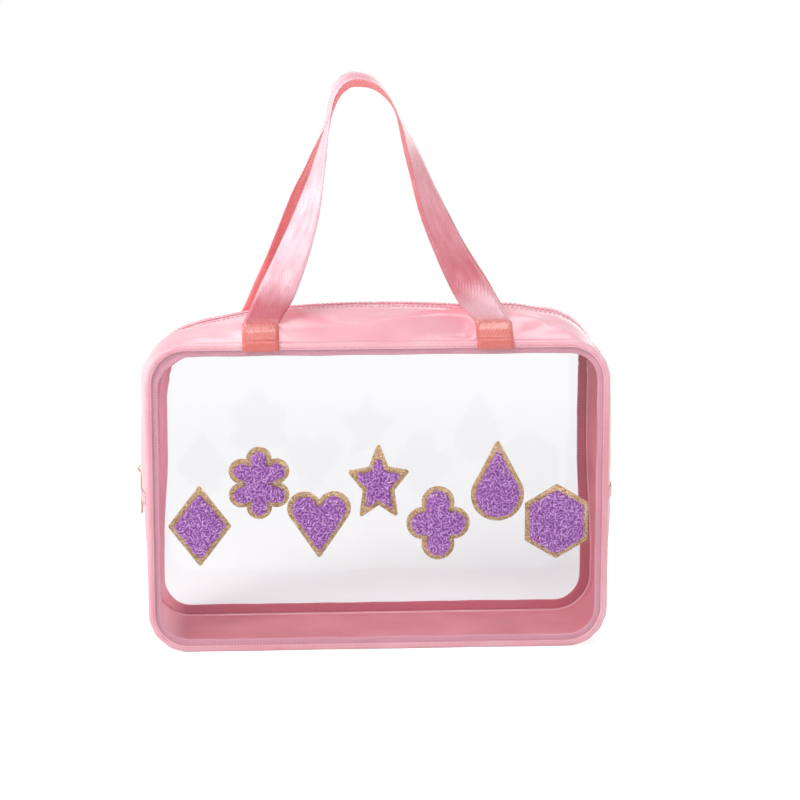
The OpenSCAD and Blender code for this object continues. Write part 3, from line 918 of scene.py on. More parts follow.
def sharpen_caps(mesh: bpy.types.Mesh, caps: Iterable[int]) -> None:
    """Keeps the end caps from bending the shading of the walls."""
    cap_set = set(caps)
    flags = [p.index not in cap_set for p in mesh.polygons]
    mesh.polygons.foreach_set("use_smooth", flags)
    on_cap: dict[tuple, int] = {}
    for index in cap_set:
        for key in mesh.polygons[index].edge_keys:
            on_cap[key] = on_cap.get(key, 0) + 1
    for edge in mesh.edges:
        if on_cap.get(tuple(sorted(edge.vertices))) == 1:
            edge.use_edge_sharp = True


def grid_normals(grid: Array, outward: Array) -> Array:
    """Unit normals of a grid of points, on the side that outward points to."""
    along = np.gradient(grid, axis=0)
    wide = np.gradient(grid, axis=1)
    normal = unit(np.cross(along, wide))
    side = np.sign(np.einsum("ijk,ijk->ij", normal, np.broadcast_to(outward, grid.shape)))
    side[side == 0] = 1
    return normal * side[..., None]


def slab(
    name: str,
    grid: Array,
    outward: Array,
    low: float,
    high: float,
    finishes: Sequence[Finish],
    ring: bool = False,
    inner: int = 0,
    floor: Optional[float] = None,
) -> Piece:
    """Makes a closed sheet with rounded long edges from a grid of points.

    Args:
        name: The piece's name.
        grid: Points in millimetres, as (run, width, 3).
        outward: The side that counts as outside, for each point or for all.
        low: Distance of the inner face from the grid.
        high: Distance of the outer face from the grid.
        finishes: The finishes on the mesh.
        ring: True if the run closes on itself.
        inner: The finish of the inner face.
        floor: The lowest z that a point may have.

    Returns:
        The piece.
    """
    normal = grid_normals(grid, outward)
    if ring:
        wrapped = np.concatenate([grid[-2:], grid, grid[:2]])
        ways = np.broadcast_to(outward, grid.shape)
        ways = np.concatenate([ways[-2:], ways, ways[:2]])
        normal = grid_normals(wrapped, ways)[2:-2]
    middle, half = (low + high) / 2, (high - low) / 2
    across = mean_widths(grid)
    from_edge = np.minimum(across, across[-1] - across)
    share = np.sqrt(np.clip(1 - (1 - np.clip(from_edge / (1.2 * half), 0, 1)) ** 2, 0.12, 1))
    outer = grid + normal * (middle + half * share)[None, :, None]
    under = grid + normal * (middle - half * share)[None, :, None]
    loops = np.concatenate([outer, under[:, ::-1]], axis=1)
    if floor is not None:
        loops[..., 2] = np.maximum(loops[..., 2], floor)
    cols = grid.shape[1]
    kinds = [0] * cols + [inner] * (cols - 1) + [0]
    return loft(name, loops, finishes, np.concatenate([across, across[::-1]]), ring, kinds)


def scatter(
    name: str,
    template: tuple[Array, list],
    frames: Array,
    origins: Array,
    finish: Finish,
    scales: Optional[Array] = None,
) -> Piece:
    """Joins many copies of one small closed mesh.

    Args:
        name: The piece's name.
        template: Points in millimetres and faces.
        frames: One matrix of axis columns for each copy.
        origins: Each copy's place in millimetres.
        finish: The finish of all the copies.
        scales: Each copy's size on each of its axes.

    Returns:
        The piece.
    """
    points, faces = template
    local = np.broadcast_to(points, (len(origins),) + points.shape)
    if scales is not None:
        local = local * scales[:, None, :]
    placed = np.einsum("nij,npj->npi", frames, local) + origins[:, None, :]
    every = [
        tuple(v + n * len(points) for v in face) for n in range(len(origins)) for face in faces
    ]
    return make_object(name, placed.reshape(-1, 3), every, [finish])


def tube_template(
    centres: Array, radii: Sequence[float], sides: int, widths: Optional[Sequence[float]] = None
) -> tuple[Array, list]:
    """A small closed tube, as points and faces.

    Args:
        centres: Points of its centreline.
        radii: Its radius at each point.
        sides: Points round it.
        widths: Its half width at each point, if that differs from its radius.

    Returns:
        The template for scatter.
    """
    centres = np.asarray(centres, float)
    ahead = unit(np.gradient(centres, axis=0))
    side = unit(np.cross(ahead, [0.0, 0.0, 1.0]) + 1e-9 * np.array([0, 1, 0]))
    up = np.cross(side, ahead)
    widths = radii if widths is None else widths
    angles = np.arange(sides) * 2 * np.pi / sides + np.pi / sides
    points = []
    for c, s, u, r, w in zip(centres, side, up, radii, widths):
        points += [c + s * math.cos(a) * w + u * math.sin(a) * r for a in angles]
    return np.array(points), tube_faces(len(centres), sides)


def stitches(
    name: str,
    line: Array,
    normals: Array,
    length: float = 2.6,
    pitch: float = 3.3,
    radius: float = 0.27,
) -> Piece:
    """Sews a row of stitches along a line.

    Args:
        name: The piece's name.
        line: Points in millimetres along the seam.
        normals: The fabric's outward side at each point.
        length: Length of a stitch that shows.
        pitch: Distance from stitch to stitch.
        radius: The thread's radius.

    Returns:
        The piece.
    """
    at = run_lengths(line)
    places = np.arange(pitch / 2, at[-1] - length / 2, pitch)
    start, end = (on_line(places + turn * length / 2, at, line) for turn in (-1, 1))
    ahead = unit(end - start)
    up = unit(on_line(places, at, normals))
    side = unit(np.cross(up, ahead))
    up = np.cross(ahead, side)
    frames = np.stack([ahead, side, up], axis=2)
    h = length / 2
    dive = [(-h, -0.25), (-h * 0.86, 0.02), (-h * 0.4, 0.12)]
    dive += [(-x, z) for x, z in reversed(dive)]
    centres = np.array([[x, 0, z] for x, z in dive])
    template = tube_template(centres, radius * np.array([0.5, 0.9, 1, 1, 0.9, 0.5]), 6)
    return scatter(name, template, frames, (start + end) / 2, THREAD)


def baked(piece: Piece) -> Piece:
    """Applies an object's modifiers to its mesh."""
    graph = bpy.context.evaluated_depsgraph_get()
    mesh = bpy.data.meshes.new_from_object(piece.evaluated_get(graph))
    piece.modifiers.clear()
    piece.data = mesh
    return piece


def rounded_copy(node: str, name: str, finish: Finish, radius: float, body: str) -> Piece:
    """Copies a rigid node with its edges rounded, to stand for it.

    Args:
        node: The node to copy.
        name: The piece's name.
        finish: Its finish.
        radius: Radius of its edges, in millimetres.
        body: The body that it rides on.

    Returns:
        The piece.
    """
    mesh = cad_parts[node].data.copy()
    mesh.name = name
    shape = bmesh.new()
    shape.from_mesh(mesh)
    bmesh.ops.remove_doubles(shape, verts=shape.verts, dist=1e-6)
    bmesh.ops.dissolve_limit(
        shape, angle_limit=math.radians(1.5), verts=shape.verts, edges=shape.edges
    )
    shape.to_mesh(mesh)
    shape.free()
    mesh.materials.clear()
    mesh.materials.append(finish.material())
    piece = linked(name, mesh)
    bevel = piece.modifiers.new("edges", "BEVEL")
    bevel.width = radius * MM
    bevel.segments = 3
    bevel.limit_method = "ANGLE"
    bevel.angle_limit = math.radians(35)
    baked(piece)
    piece.data.polygons.foreach_set("use_smooth", [True] * len(piece.data.polygons))
    piece.data.set_sharp_from_angle(angle=math.radians(40))
    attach(piece, body)
    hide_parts(node)
    return piece


# ---------------------------------------------------------------- the sewn form


@dataclass(frozen=True)
class Fold:
    """A soft crease in the gusset, between two points given as x and y on the top."""

    x0: float
    y0: float
    x1: float
    y1: float
    depth: float
    width: float
    crisp: bool = False

    def lift(self, x: Array, y: Array) -> Array:
        """How far the crease lifts the fabric at x and y."""
        dx, dy = self.x1 - self.x0, self.y1 - self.y0
        t = np.clip(((x - self.x0) * dx + (y - self.y0) * dy) / (dx * dx + dy * dy), 0, 1)
        gap = np.hypot(x - self.x0 - t * dx, y - self.y0 - t * dy)
        profile = (
            np.clip(1 - gap / self.width, 0, 1) ** 1.25
            if self.crisp
            else np.exp(-((gap / self.width) ** 2))
        )
        return -self.depth * profile * (0.35 + 0.65 * np.sin(np.pi * t))


@dataclass(frozen=True)
class CaseForm:
    """The sewn body: the outline of its panels and the swelling surface of its gusset."""

    width: float = 318
    height: float = 217
    depth: float = 90
    corner_r: float = 28
    rim_depth: float = 5
    side_swell: float = 2.5
    shoulder_swell: float = 6
    crown_swell: float = 17
    joint_z: float = 108
    band_w: float = 8
    fabric_t: float = 1.2
    slit_half: float = 5.5
    folds: tuple[Fold, ...] = (
        Fold(-34, -36, 74, -20, -4.2, 13.0, crisp=True),
        Fold(34, -32, 78, -29, 5.5, 8.0),
        Fold(-70, -39.0, 66, -38.6, 2.0, 2.4, crisp=True),
        Fold(-128, -14, -100, -24, -1.6, 7.0, crisp=True),
        Fold(98, -22, 132, -34, -2.0, 9.0, crisp=True),
        Fold(-150, -26, -118, -16, -1.2, 6.0, crisp=True),
        Fold(-128, -26, -97, -37, 1.3, 3.0),
        Fold(-120, -18, -96, -27, 0.8, 3.0),
        Fold(-60, -37, -12, -34, 0.9, 3.0),
        Fold(96, -36, 128, -24, 1.1, 3.5),
        Fold(20, 14, 64, 26, 1.0, 4.0),
        Fold(-64, 30, 8, 24, 1.4, 4.5),
        Fold(96, 34, 126, 22, 1.1, 3.5),
        Fold(-124, 20, -98, 33, 1.1, 3.2),
    )

    @property
    def half(self) -> float:
        """Half the panel's width."""
        return self.width / 2

    @property
    def straight(self) -> float:
        """Half the panel's straight top edge."""
        return self.half - self.corner_r

    @property
    def shoulder_z(self) -> float:
        """Where the top corners begin."""
        return self.height - self.corner_r

    @property
    def gusset_half(self) -> float:
        """Half the gusset's width between the rims."""
        return self.depth / 2 - self.rim_depth

    @property
    def corner_run(self) -> float:
        """Length of a corner along the panel's outline."""
        return self.corner_r * math.pi / 2

    @property
    def side_run(self) -> float:
        """Length of the zip gusset's straight side."""
        return self.shoulder_z - self.joint_z

    @property
    def upper_run(self) -> float:
        """Length of the zip gusset from its side seam to the middle of the top."""
        return self.side_run + self.corner_run + self.straight

    @property
    def lower_run(self) -> float:
        """Length of the base gusset from its side seam to the middle of the base."""
        return self.joint_z - self.corner_r + self.corner_run + self.straight

    def crown(self, x: Array) -> Array:
        """Swell of the top at x."""
        return (
            self.shoulder_swell
            + (self.crown_swell - self.shoulder_swell) * (1 - (x / self.straight) ** 2)
        )

    def across(self, y: Array) -> Array:
        """Share of the swell at depth y."""
        return 1 - (y / self.gusset_half) ** 2

    def upper(self, d: Array, side: Side) -> Array:
        """Stations of the zip gusset.

        Args:
            d: Distances from the side seam up and over, to the middle of the top.
            side: The side that they start from.

        Returns:
            Rows of x, z, outward x, outward z and swell.
        """
        d = np.asarray(d, float)
        turn = np.clip((d - self.side_run) / self.corner_run, 0, 1)
        angle = np.pi - turn * np.pi / 2
        flat = np.maximum(d - self.side_run - self.corner_run, 0)
        x = -self.straight + self.corner_r * np.cos(angle) + flat
        z = self.shoulder_z + self.corner_r * np.sin(angle) - np.maximum(self.side_run - d, 0)
        corner = self.side_swell + (self.shoulder_swell - self.side_swell) * ease(turn)
        swell = np.where(flat > 0, self.crown(x), corner)
        return np.stack(
            [-side.value * x, z, -side.value * np.cos(angle), np.sin(angle), swell], axis=-1
        )

    def lower(self, d: Array, side: Side) -> Array:
        """Stations of the base gusset, from the side seam down and under to the middle."""
        d = np.asarray(d, float)
        drop = self.joint_z - self.corner_r
        turn = np.clip((d - drop) / self.corner_run, 0, 1)
        angle = turn * np.pi / 2
        flat = np.maximum(d - drop - self.corner_run, 0)
        x = self.straight + self.corner_r * np.cos(angle) - flat
        z = self.corner_r - self.corner_r * np.sin(angle) + np.maximum(drop - d, 0)
        swell = self.side_swell * ease((z - self.corner_r) / (drop - self.band_w))
        return np.stack(
            [side.value * x, z, side.value * np.cos(angle), -np.sin(angle), swell], axis=-1
        )

    def plump(self, x: Array, z: Array, y: Array) -> Array:
        """Uneven fullness that all the gusset's layers share: a full right shoulder, and sides that
        stand out between the zip and the rims."""
        t = np.clip((np.abs(y) - 9) / (self.gusset_half - 9), 0, 1)
        lobe = 4 * t * (1 - t)
        left = 2.6 * np.exp(-(((z - 136) / 50) ** 2)) * lobe * (x < -self.straight)
        right = 2.0 * np.exp(-(((z - 105) / 70) ** 2)) * lobe * (x > self.straight)
        over = self.across(np.clip(y, -self.gusset_half, self.gusset_half)) * ease((z - 188) / 26)
        shoulder = 5.5 * ease((x - 60) / 45) - 8.0 * ease((x - 124) / 22)
        shoulder = (shoulder - 4.5 * np.exp(-(((x - 154) / 7) ** 2))) * over
        crest = 2.4 * ease((118 - np.abs(x)) / 40) * over
        top = 0.8 * lobe * ease((z - 200) / 17)
        return left + right + shoulder + crest + top

    def wrinkle(self, x: Array, z: Array, y: Array) -> Array:
        """Folds and ripples of the outer fabric, calm at its seams and under the webbing."""
        near_rim = ease((self.gusset_half - np.abs(y)) / 7)
        near_zip = ease((np.abs(y) - self.slit_half - 3) / 6)
        near_band = ease((np.abs(z - self.joint_z) - self.band_w / 2) / 10)
        foot = ease((20 - np.abs(np.abs(x) - 80)) / 7) * ease((np.abs(y) - 20) / 5)
        under_foot = 1 - foot * (z > self.shoulder_z)
        above_base = ease((z - 1) / 12)
        ripple = np.empty(x.shape)
        for index in np.ndindex(x.shape):
            px, py, pz = x[index] + 11, y[index], z[index]
            broad = noise.noise(Vector((px / 46, py / 24, pz / 46)))
            fine = noise.noise(Vector((px / 15 + 7, py / 9, pz / 15)))
            ripple[index] = 1.5 * broad + 0.42 * fine
        on_top = ease((z - self.shoulder_z) / 20)
        for fold in self.folds:
            ripple = ripple + fold.lift(x, y) * on_top
        return ripple * near_rim * near_zip * near_band * under_foot * above_base

    def skin(
        self, stations: Array, y: Array, lift: float = 0.0, wrinkled: bool = False
    ) -> tuple[Array, Array]:
        """Points of the gusset's surface.

        Args:
            stations: Rows from upper or lower.
            y: Depths.
            lift: Distance outwards from the fabric's outer face.
            wrinkled: True for the outer fabric's own folds.

        Returns:
            The grid of points, and the outward direction at each.
        """
        size = (len(stations), len(y))
        x, z, way_x, way_z, swell = (
            np.broadcast_to(column[:, None], size) for column in stations.T
        )
        depth = np.broadcast_to(y[None, :], size)
        out = swell * self.across(np.clip(depth, -self.gusset_half, self.gusset_half))
        out = out + self.plump(x, z, depth) + lift
        if wrinkled:
            out = out + self.wrinkle(x, z, depth)
        way = np.stack([way_x, np.zeros(size), way_z], axis=-1)
        return np.stack([x, depth, z], axis=-1) + way * out[..., None], way

    def outline(self, count_step: float) -> tuple[Array, Array]:
        """Points round the panel's outline, and the outward direction at each."""
        top, side, arc = 2 * self.straight, self.height - 2 * self.corner_r, self.corner_run
        total = 2 * (top + side) + 4 * arc
        p = np.arange(0, total, total / round(total / count_step))
        points, ways = [], []
        centres = [
            (self.straight, self.corner_r),
            (self.straight, self.shoulder_z),
            (-self.straight, self.shoulder_z),
            (-self.straight, self.corner_r),
        ]
        for s in (p + top / 2) % total:
            for corner, (cx, cz) in enumerate(centres):
                run = top if corner % 2 == 0 else side
                before = -math.pi / 2 + corner * math.pi / 2
                if s < run:
                    nx, nz = round(math.cos(before)), round(math.sin(before))
                    back = run - s
                    points.append(
                        (cx + nx * self.corner_r + nz * back, cz + nz * self.corner_r - nx * back)
                    )
                    ways.append((nx, nz))
                    break
                s -= run
                if s < arc:
                    a = before + s / arc * math.pi / 2
                    points.append(
                        (cx + math.cos(a) * self.corner_r, cz + math.sin(a) * self.corner_r)
                    )
                    ways.append((math.cos(a), math.sin(a)))
                    break
                s -= arc
        return np.array(points), np.array(ways)


@dataclass(frozen=True)
class SewnBody:
    """The gusset, the rims turned over the windows, the bindings and the side bands."""

    form: CaseForm
    row_step: float = 2.2
    tuck: float = 0.8
    band_t: float = 1.0
    band_gap: float = 0.15
    binding_w: float = 7.0
    binding_t: float = 0.8
    film_back: float = 1.8
    film_inset: float = 1.7
    topstitch_in: float = 2.2
    rim_stitch_in: float = 3.05
    blend_from: float = 130.0
    blend_to: float = 96.0

    def build(self) -> None:
        """Builds and dresses the sewn body."""
        for half in Half:
            for side in Side:
                self.zip_strip(half, side)
            self.rim(half)
            self.binding(half)
            self.fold_strip(half)
        self.base()
        for side in Side:
            self.joint_band(side)

    def swing(self, piece: Piece, half: Half, side: Side) -> None:
        """Bakes a strip's place into its mesh."""
        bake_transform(piece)

    def zip_strip(self, half: Half, side: Side) -> None:
        """One quarter of the zip gusset, from a side seam to the middle of the top."""
        form = self.form
        rows = np.linspace(0, form.upper_run, round(form.upper_run / self.row_step))
        outer = np.linspace(form.gusset_half + self.tuck, form.slit_half + 2.4, 20)
        edge = form.slit_half + np.array([1.6, 0.9, 0.4, 0.1, 0.0])
        y = half.value * np.concatenate([outer, edge])
        grid, way = form.skin(form.upper(rows, side), y, wrinkled=True)
        name = f"gusset_strip_{half.word}_{side.word}"
        piece = slab(name, grid, way, -form.fabric_t, 0.0, [COATED, LINING], inner=1)
        self.swing(piece, half, side)
        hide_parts(f"zip_gusset_{half.word}_{side.word}", f"mouth_{half.word}")
        line, ways = form.skin(
            form.upper(rows, side),
            half.value * np.array([form.slit_half + self.topstitch_in]),
            0.02,
        )
        row = stitches(f"topstitch_{half.word}_{side.word}", line[2:, 0], ways[2:, 0])
        self.swing(row, half, side)
        LOG.info("zip gusset strip: %s %s", half.word, side.word)

    def base(self) -> None:
        """The base gusset, from one side seam down, under and up to the other."""
        form = self.form
        d = np.linspace(0, form.lower_run, round(form.lower_run / 2.6))
        stations = np.concatenate([form.lower(d, Side.LEFT), form.lower(d[:-1], Side.RIGHT)[::-1]])
        reach = form.gusset_half + self.tuck
        y = np.linspace(-reach, reach, 39)
        grid, way = form.skin(stations, y, wrinkled=True)
        piece = slab(
            "gusset_base", grid, way, -form.fabric_t, 0.0, [COATED, LINING], inner=1, floor=0.0
        )
        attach(piece, "case")
        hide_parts("base_gusset")
        LOG.info("base gusset")

    def fold_strip(self, half: Half) -> None:
        """The turned hem between the rim and the opening half of the top."""
        form = self.form
        x = np.linspace(-111, 111, 75)
        d = form.upper_run - np.abs(x)
        stations = np.array(
            [form.upper(np.array([v]), Side.LEFT if w < 0 else Side.RIGHT)[0] for v, w in zip(d, x)]
        )
        y = half.value * np.linspace(42.6, 37.2, 7)
        grid, way = form.skin(stations, y, -1.45)
        piece = slab(f"turned_hem_{half.word}", grid, way, -0.7, 0.0, [COATED, LINING], inner=1)
        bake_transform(piece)

    def rim(self, half: Half) -> None:
        """The rim: the gusset's edge turned over the film, sewn down, puffy between its seams."""
        form = self.form
        points, ways = form.outline(2.0)
        wall = np.array(
            [
                (1.3, 5.15), (0.75, 4.95), (0.15, 4.45), (-0.25, 3.7), (-0.38, 2.8), (-0.28, 1.9),
                (0.02, 1.05), (0.5, 0.4), (1.05, 0.05), (1.7, -0.16), (2.3, -0.22), (2.75, -0.14),
                (3.05, 0.02), (3.4, -0.08), (3.85, -0.12), (4.25, 0.08), (4.5, 0.5), (4.42, 0.95),
                (4.0, 1.17), (2.8, 1.17), (1.75, 1.2), (1.6, 2.6), (1.55, 4.4),
            ]
        )
        across = run_lengths(wall)
        puff = np.zeros(len(wall))
        puff[1:17] = np.sin(np.linspace(0, np.pi, 16))
        outward = wall - np.array([3.2, 3.2])
        outward = outward / np.linalg.norm(outward, axis=1)[:, None]
        loops = np.empty((len(points), len(wall), 3))
        for i, ((px, pz), (nx, nz)) in enumerate(zip(points, ways)):
            bend = min(1.0, 4 * abs(nx * nz))
            pleat = bend * 0.28 * math.sin(i * 1.05 + 0.6 * math.sin(i * 0.31))
            slack = 0.3 * noise.noise(Vector((px / 26, half.value * 3.0, pz / 26)))
            section = wall + outward * (puff * (pleat + slack))[:, None]
            loops[i, :, 0] = px - nx * section[:, 0]
            loops[i, :, 1] = half.value * (form.depth / 2 - section[:, 1])
            loops[i, :, 2] = np.maximum(pz - nz * section[:, 0], 0.0)
        piece = loft(f"rolled_rim_{half.word}", loops, [COATED], across, ring=True)
        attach(piece, "case")
        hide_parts(f"{half.word}_rim")
        inner = points - ways * self.rim_stitch_in
        line = np.insert(inner, 1, half.value * (form.depth / 2 + 0.02), axis=1)
        line = np.vstack([line, line[:1]])
        normals = np.tile([0.0, half.value, 0.0], (len(line), 1))
        row = stitches(f"rim_stitch_{half.word}", line, normals, length=2.4, pitch=3.0, radius=0.24)
        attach(row, "case")
        LOG.info("rim: %s", half.word)

    def binding(self, half: Half) -> None:
        """The woven tape that binds the seam allowance behind the film."""
        form = self.form
        points, ways = form.outline(3.0)
        cols = 9
        grid = np.empty((len(points), cols, 3))
        for i, ((px, pz), (nx, nz)) in enumerate(zip(points, ways)):
            slack = noise.noise(Vector((px / 30, half.value * 9.0, pz / 30)))
            corner = 3.2 * max(0.0, -nx * nz) * 2 if pz > 100 and px < 0 else 0.0
            inset = np.linspace(
                self.film_inset, self.film_inset + self.binding_w + 0.6 * slack + corner, cols
            )
            ripple = (
                0.25 * np.sin(np.linspace(0, np.pi, cols)) * (1 + slack) + 0.12 * math.sin(i * 0.9)
            )
            ripple[0] = 0.0
            grid[i, :, 0] = px - nx * inset
            grid[i, :, 1] = half.value * (form.depth / 2 - self.film_back - 0.1 - np.abs(ripple))
            grid[i, :, 2] = pz - nz * inset
        piece = slab(
            f"seam_binding_{half.word}",
            grid,
            np.array([0.0, half.value, 0.0]),
            -self.binding_t,
            0.0,
            # the back half takes the binding's darker copy, painted shade
            [BINDING if half is Half.FRONT else BINDING_PAINTED_SHADE],
            ring=True,
        )
        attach(piece, "case")
        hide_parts(f"{half.word}_binding")
        LOG.info("binding: %s", half.word)

    def joint_band(self, side: Side) -> None:
        """The folded band over a side seam, with a row of stitches near each edge."""
        form = self.form
        reach = form.gusset_half + 0.4
        y = np.linspace(-reach, reach, 41)
        z = np.linspace(-form.band_w / 2, form.band_w / 2, 9)

        def at(offset: float) -> Array:
            """A station at a height above or below the seam."""
            return (
                form.upper(np.array([offset]), side)[0]
                if offset >= 0
                else form.lower(np.array([-offset]), side)[0]
            )

        stations = np.array([at(v) for v in z])
        grid, way = form.skin(stations, y)
        grid, way = grid.transpose(1, 0, 2), way.transpose(1, 0, 2)
        piece = slab(
            f"side_band_{side.word}",
            grid,
            way,
            self.band_gap,
            self.band_gap + self.band_t,
            [COATED],
        )
        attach(piece, "case")
        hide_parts(f"joint_band_{side.word}")
        for k, offset in enumerate((-form.band_w / 2 + 1.6, form.band_w / 2 - 1.6)):
            line, ways = form.skin(np.array([at(offset)]), y, self.band_gap + self.band_t)
            row = stitches(f"side_band_stitch_{side.word}_{k}", line[0], ways[0])
            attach(row, "case")
        LOG.info("side band: %s", side.word)


@dataclass(frozen=True)
class Windows:
    """The two clear panels."""

    form: CaseForm
    inset: float = 1.7
    front: float = 1.2
    film_t: float = 0.6
    wave: float = 0.7
    calm_top: float = 152.0

    def build(self) -> None:
        """Builds both windows."""
        for half in Half:
            self.window(half)

    def window(self, half: Half) -> None:
        """A film with the slack of a sewn sheet above the patches, and nearly flat behind them."""
        form = self.form
        low, high = self.inset, form.height - self.inset
        r = form.corner_r - self.inset
        bend = r - r * np.cos(np.linspace(0, np.pi / 2, 9))
        z = np.concatenate(
            [low + bend, np.linspace(low + r, high - r, 42)[1:-1], (high - bend)[::-1]]
        )
        u = np.sin(np.linspace(-1, 1, 61) * np.pi / 2 * 0.92) / math.sin(np.pi / 2 * 0.92)
        grid = np.empty((len(z), len(u), 3))
        for i, height in enumerate(z):
            rise = max(0.0, low + r - height, height - high + r)
            reach = form.half - self.inset - r + math.sqrt(max(0.0, r * r - rise * rise))
            for j, share in enumerate(u):
                x = share * reach
                calm = 0.25 + 0.75 * float(ease((height - self.calm_top) / 30))
                if half is Half.BACK:
                    calm = 0.9
                edge = float(ease(min(height - low, high - height, reach - abs(x)) / 22))
                slack = (
                    noise.noise(Vector((x / 70, half.value * 5.0, height / 42)))
                    + 0.35 * noise.noise(Vector((x / 24, half.value * 2.0, height / 60)))
                )
                push = self.wave * slack * edge * calm * 0.6 + self.pucker(x, height)
                grid[i, j] = (
                    x, half.value * (form.depth / 2 - self.front - self.film_t / 2 + push), height
                )
        piece = slab(
            f"clear_window_{half.word}",
            grid,
            np.array([0.0, half.value, 0.0]),
            -self.film_t / 2,
            self.film_t / 2,
            [FILM if half is Half.FRONT else FILM_BEHIND],
        )
        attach(piece, "case")
        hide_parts(f"{half.word}_window")
        LOG.info("window: %s", half.word)

    def pucker(self, x: float, z: float) -> float:
        """Short pleats that run in from the seam where it goes round a corner."""
        form = self.form
        dx, dz = abs(x) - form.straight, max(form.corner_r - z, z - form.shoulder_z)
        if dx <= 0 or dz <= 0:
            return 0.0
        angle, reach = math.atan2(dz, dx), math.hypot(dx, dz)
        return (
            0.32
            * math.sin(angle * 22 + x)
            * float(ease((reach - 10) / 11) * ease((form.corner_r - 3.2 - reach) / 3))
        )


@dataclass(frozen=True)
class ZipChain:
    """The zip's two tapes with their moulded rows of teeth, its stops, slider and pull."""

    form: CaseForm
    body: SewnBody
    tape_reach: float = 12.0
    row_reach: float = 3.6
    tape_top: float = -1.3
    tape_t: float = 0.7
    pitch: float = 3.0
    mesh_reach: float = 0.6
    post_gap: float = 1.5
    first_tooth: float = 7.25
    bead_r: float = 0.8
    root: float = 3.0

    @property
    def tape_mid(self) -> float:
        """Distance of the tape's middle from the fabric's outer face."""
        return self.tape_top - self.tape_t / 2

    def build(self) -> None:
        """Builds the zip."""
        for half in Half:
            for side in Side:
                self.tape(half, side)
                self.row(half, side)
        for side in Side:
            rounded_copy(f"zip_stop_{side.word}", f"zip_end_stop_{side.word}", GOLD, 0.25, "case")
        rounded_copy("slider_body", "slider_casting", GOLD, 0.3, "slider")
        rounded_copy("slider_pull", "slider_tab", GOLD, 0.35, "pull")
        LOG.info("zip slider, pull and stops")

    def tape(self, half: Half, side: Side) -> None:
        """One quarter of the woven tape, from a side seam to the middle of the top."""
        form = self.form
        rows = np.linspace(0, form.upper_run, round(form.upper_run / 2.6))
        y = half.value * np.linspace(self.tape_reach, self.row_reach, 9)
        grid, way = form.skin(form.upper(rows, side), y)
        piece = slab(
            f"zip_tape_{half.word}_{side.word}",
            grid,
            way,
            self.tape_top - self.tape_t,
            self.tape_top,
            [ZIP_TAPE],
        )
        self.body.swing(piece, half, side)
        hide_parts(f"zip_tape_{half.word}_{side.word}", f"zip_tape_{half.word}_top")

    def row(self, half: Half, side: Side) -> None:
        """One quarter of the zip's teeth on their bead, meshed except where the slider runs."""
        form = self.form
        d = np.linspace(0, form.upper_run, 600)
        line, ways = form.skin(form.upper(d, side), np.array([0.0]), self.tape_mid)
        line, ways = line[:, 0], ways[:, 0]
        at = run_lengths(line)
        phase = 0.75 if half.value * side.value < 0 else 2.25
        from_middle = np.arange(phase, at[-1] - self.first_tooth, self.pitch)
        s = at[-1] - from_middle
        origin, out = on_line(s, at, line), unit(on_line(s, at, ways))
        ahead = on_line(s + 0.5, at, line) - on_line(s - 0.5, at, line)
        ahead = unit(ahead - out * np.einsum("ij,ij->i", ahead, out)[:, None])
        inward = np.tile([0.0, -float(half.value), 0.0], (len(s), 1))
        frames = np.stack([inward, ahead, out], axis=2)
        if side is Side.LEFT:
            parted = 1 - ease((np.interp(s, at, d) - form.side_run - 1) / 10)
        else:
            parted = np.zeros(len(s))
        tip = self.mesh_reach - (self.mesh_reach + self.post_gap / 2) * parted
        origins = origin + inward * tip[:, None]
        piece = scatter(f"zip_teeth_{half.word}_{side.word}", self.tooth(), frames, origins, TEETH)
        self.body.swing(piece, half, side)
        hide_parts(f"zip_teeth_{half.word}_{side.word}", f"zip_teeth_{half.word}_top")
        centre, way = form.skin(
            form.upper(np.linspace(0, form.upper_run, 110), side),
            half.value * np.array([2.8]),
            self.tape_mid,
        )
        bead = self.bead(centre[:, 0], way[:, 0], f"zip_bead_{half.word}_{side.word}")
        self.body.swing(bead, half, side)
        LOG.info("zip teeth: %s %s, %d", half.word, side.word, len(s))

    def bead(self, centre: Array, way: Array, name: str) -> Piece:
        """The moulded cord along the tape's edge."""
        angles = np.arange(8) * np.pi / 4 + np.pi / 8
        loops = np.empty((len(centre), 8, 3))
        for k, a in enumerate(angles):
            loops[:, k] = (
                centre
                + way * (math.sin(a) * self.bead_r)
                + np.array([0.0, math.cos(a) * self.bead_r, 0.0])
            )
        return loft(name, loops, [TEETH], np.linspace(0, 4, 8), flat_caps=False)

    def tooth(self) -> tuple[Array, list]:
        """A tooth with a waist and a rounded head, its tip at x = 0 and its root behind."""
        reach = self.root + 0.3
        x = np.array([-reach, -reach + 0.15, -reach + 1.3, -reach + 1.75, -1.0, -0.75, -0.28, 0.0])
        centres = np.stack([x, np.zeros(8), np.zeros(8)], axis=1)
        tall = [0.8, 0.98, 0.98, 0.86, 0.86, 1.1, 1.08, 0.75]
        wide = [0.5, 0.62, 0.62, 0.42, 0.42, 0.64, 0.62, 0.4]
        points, faces = tube_template(centres, tall, 8, wide)
        return points, faces


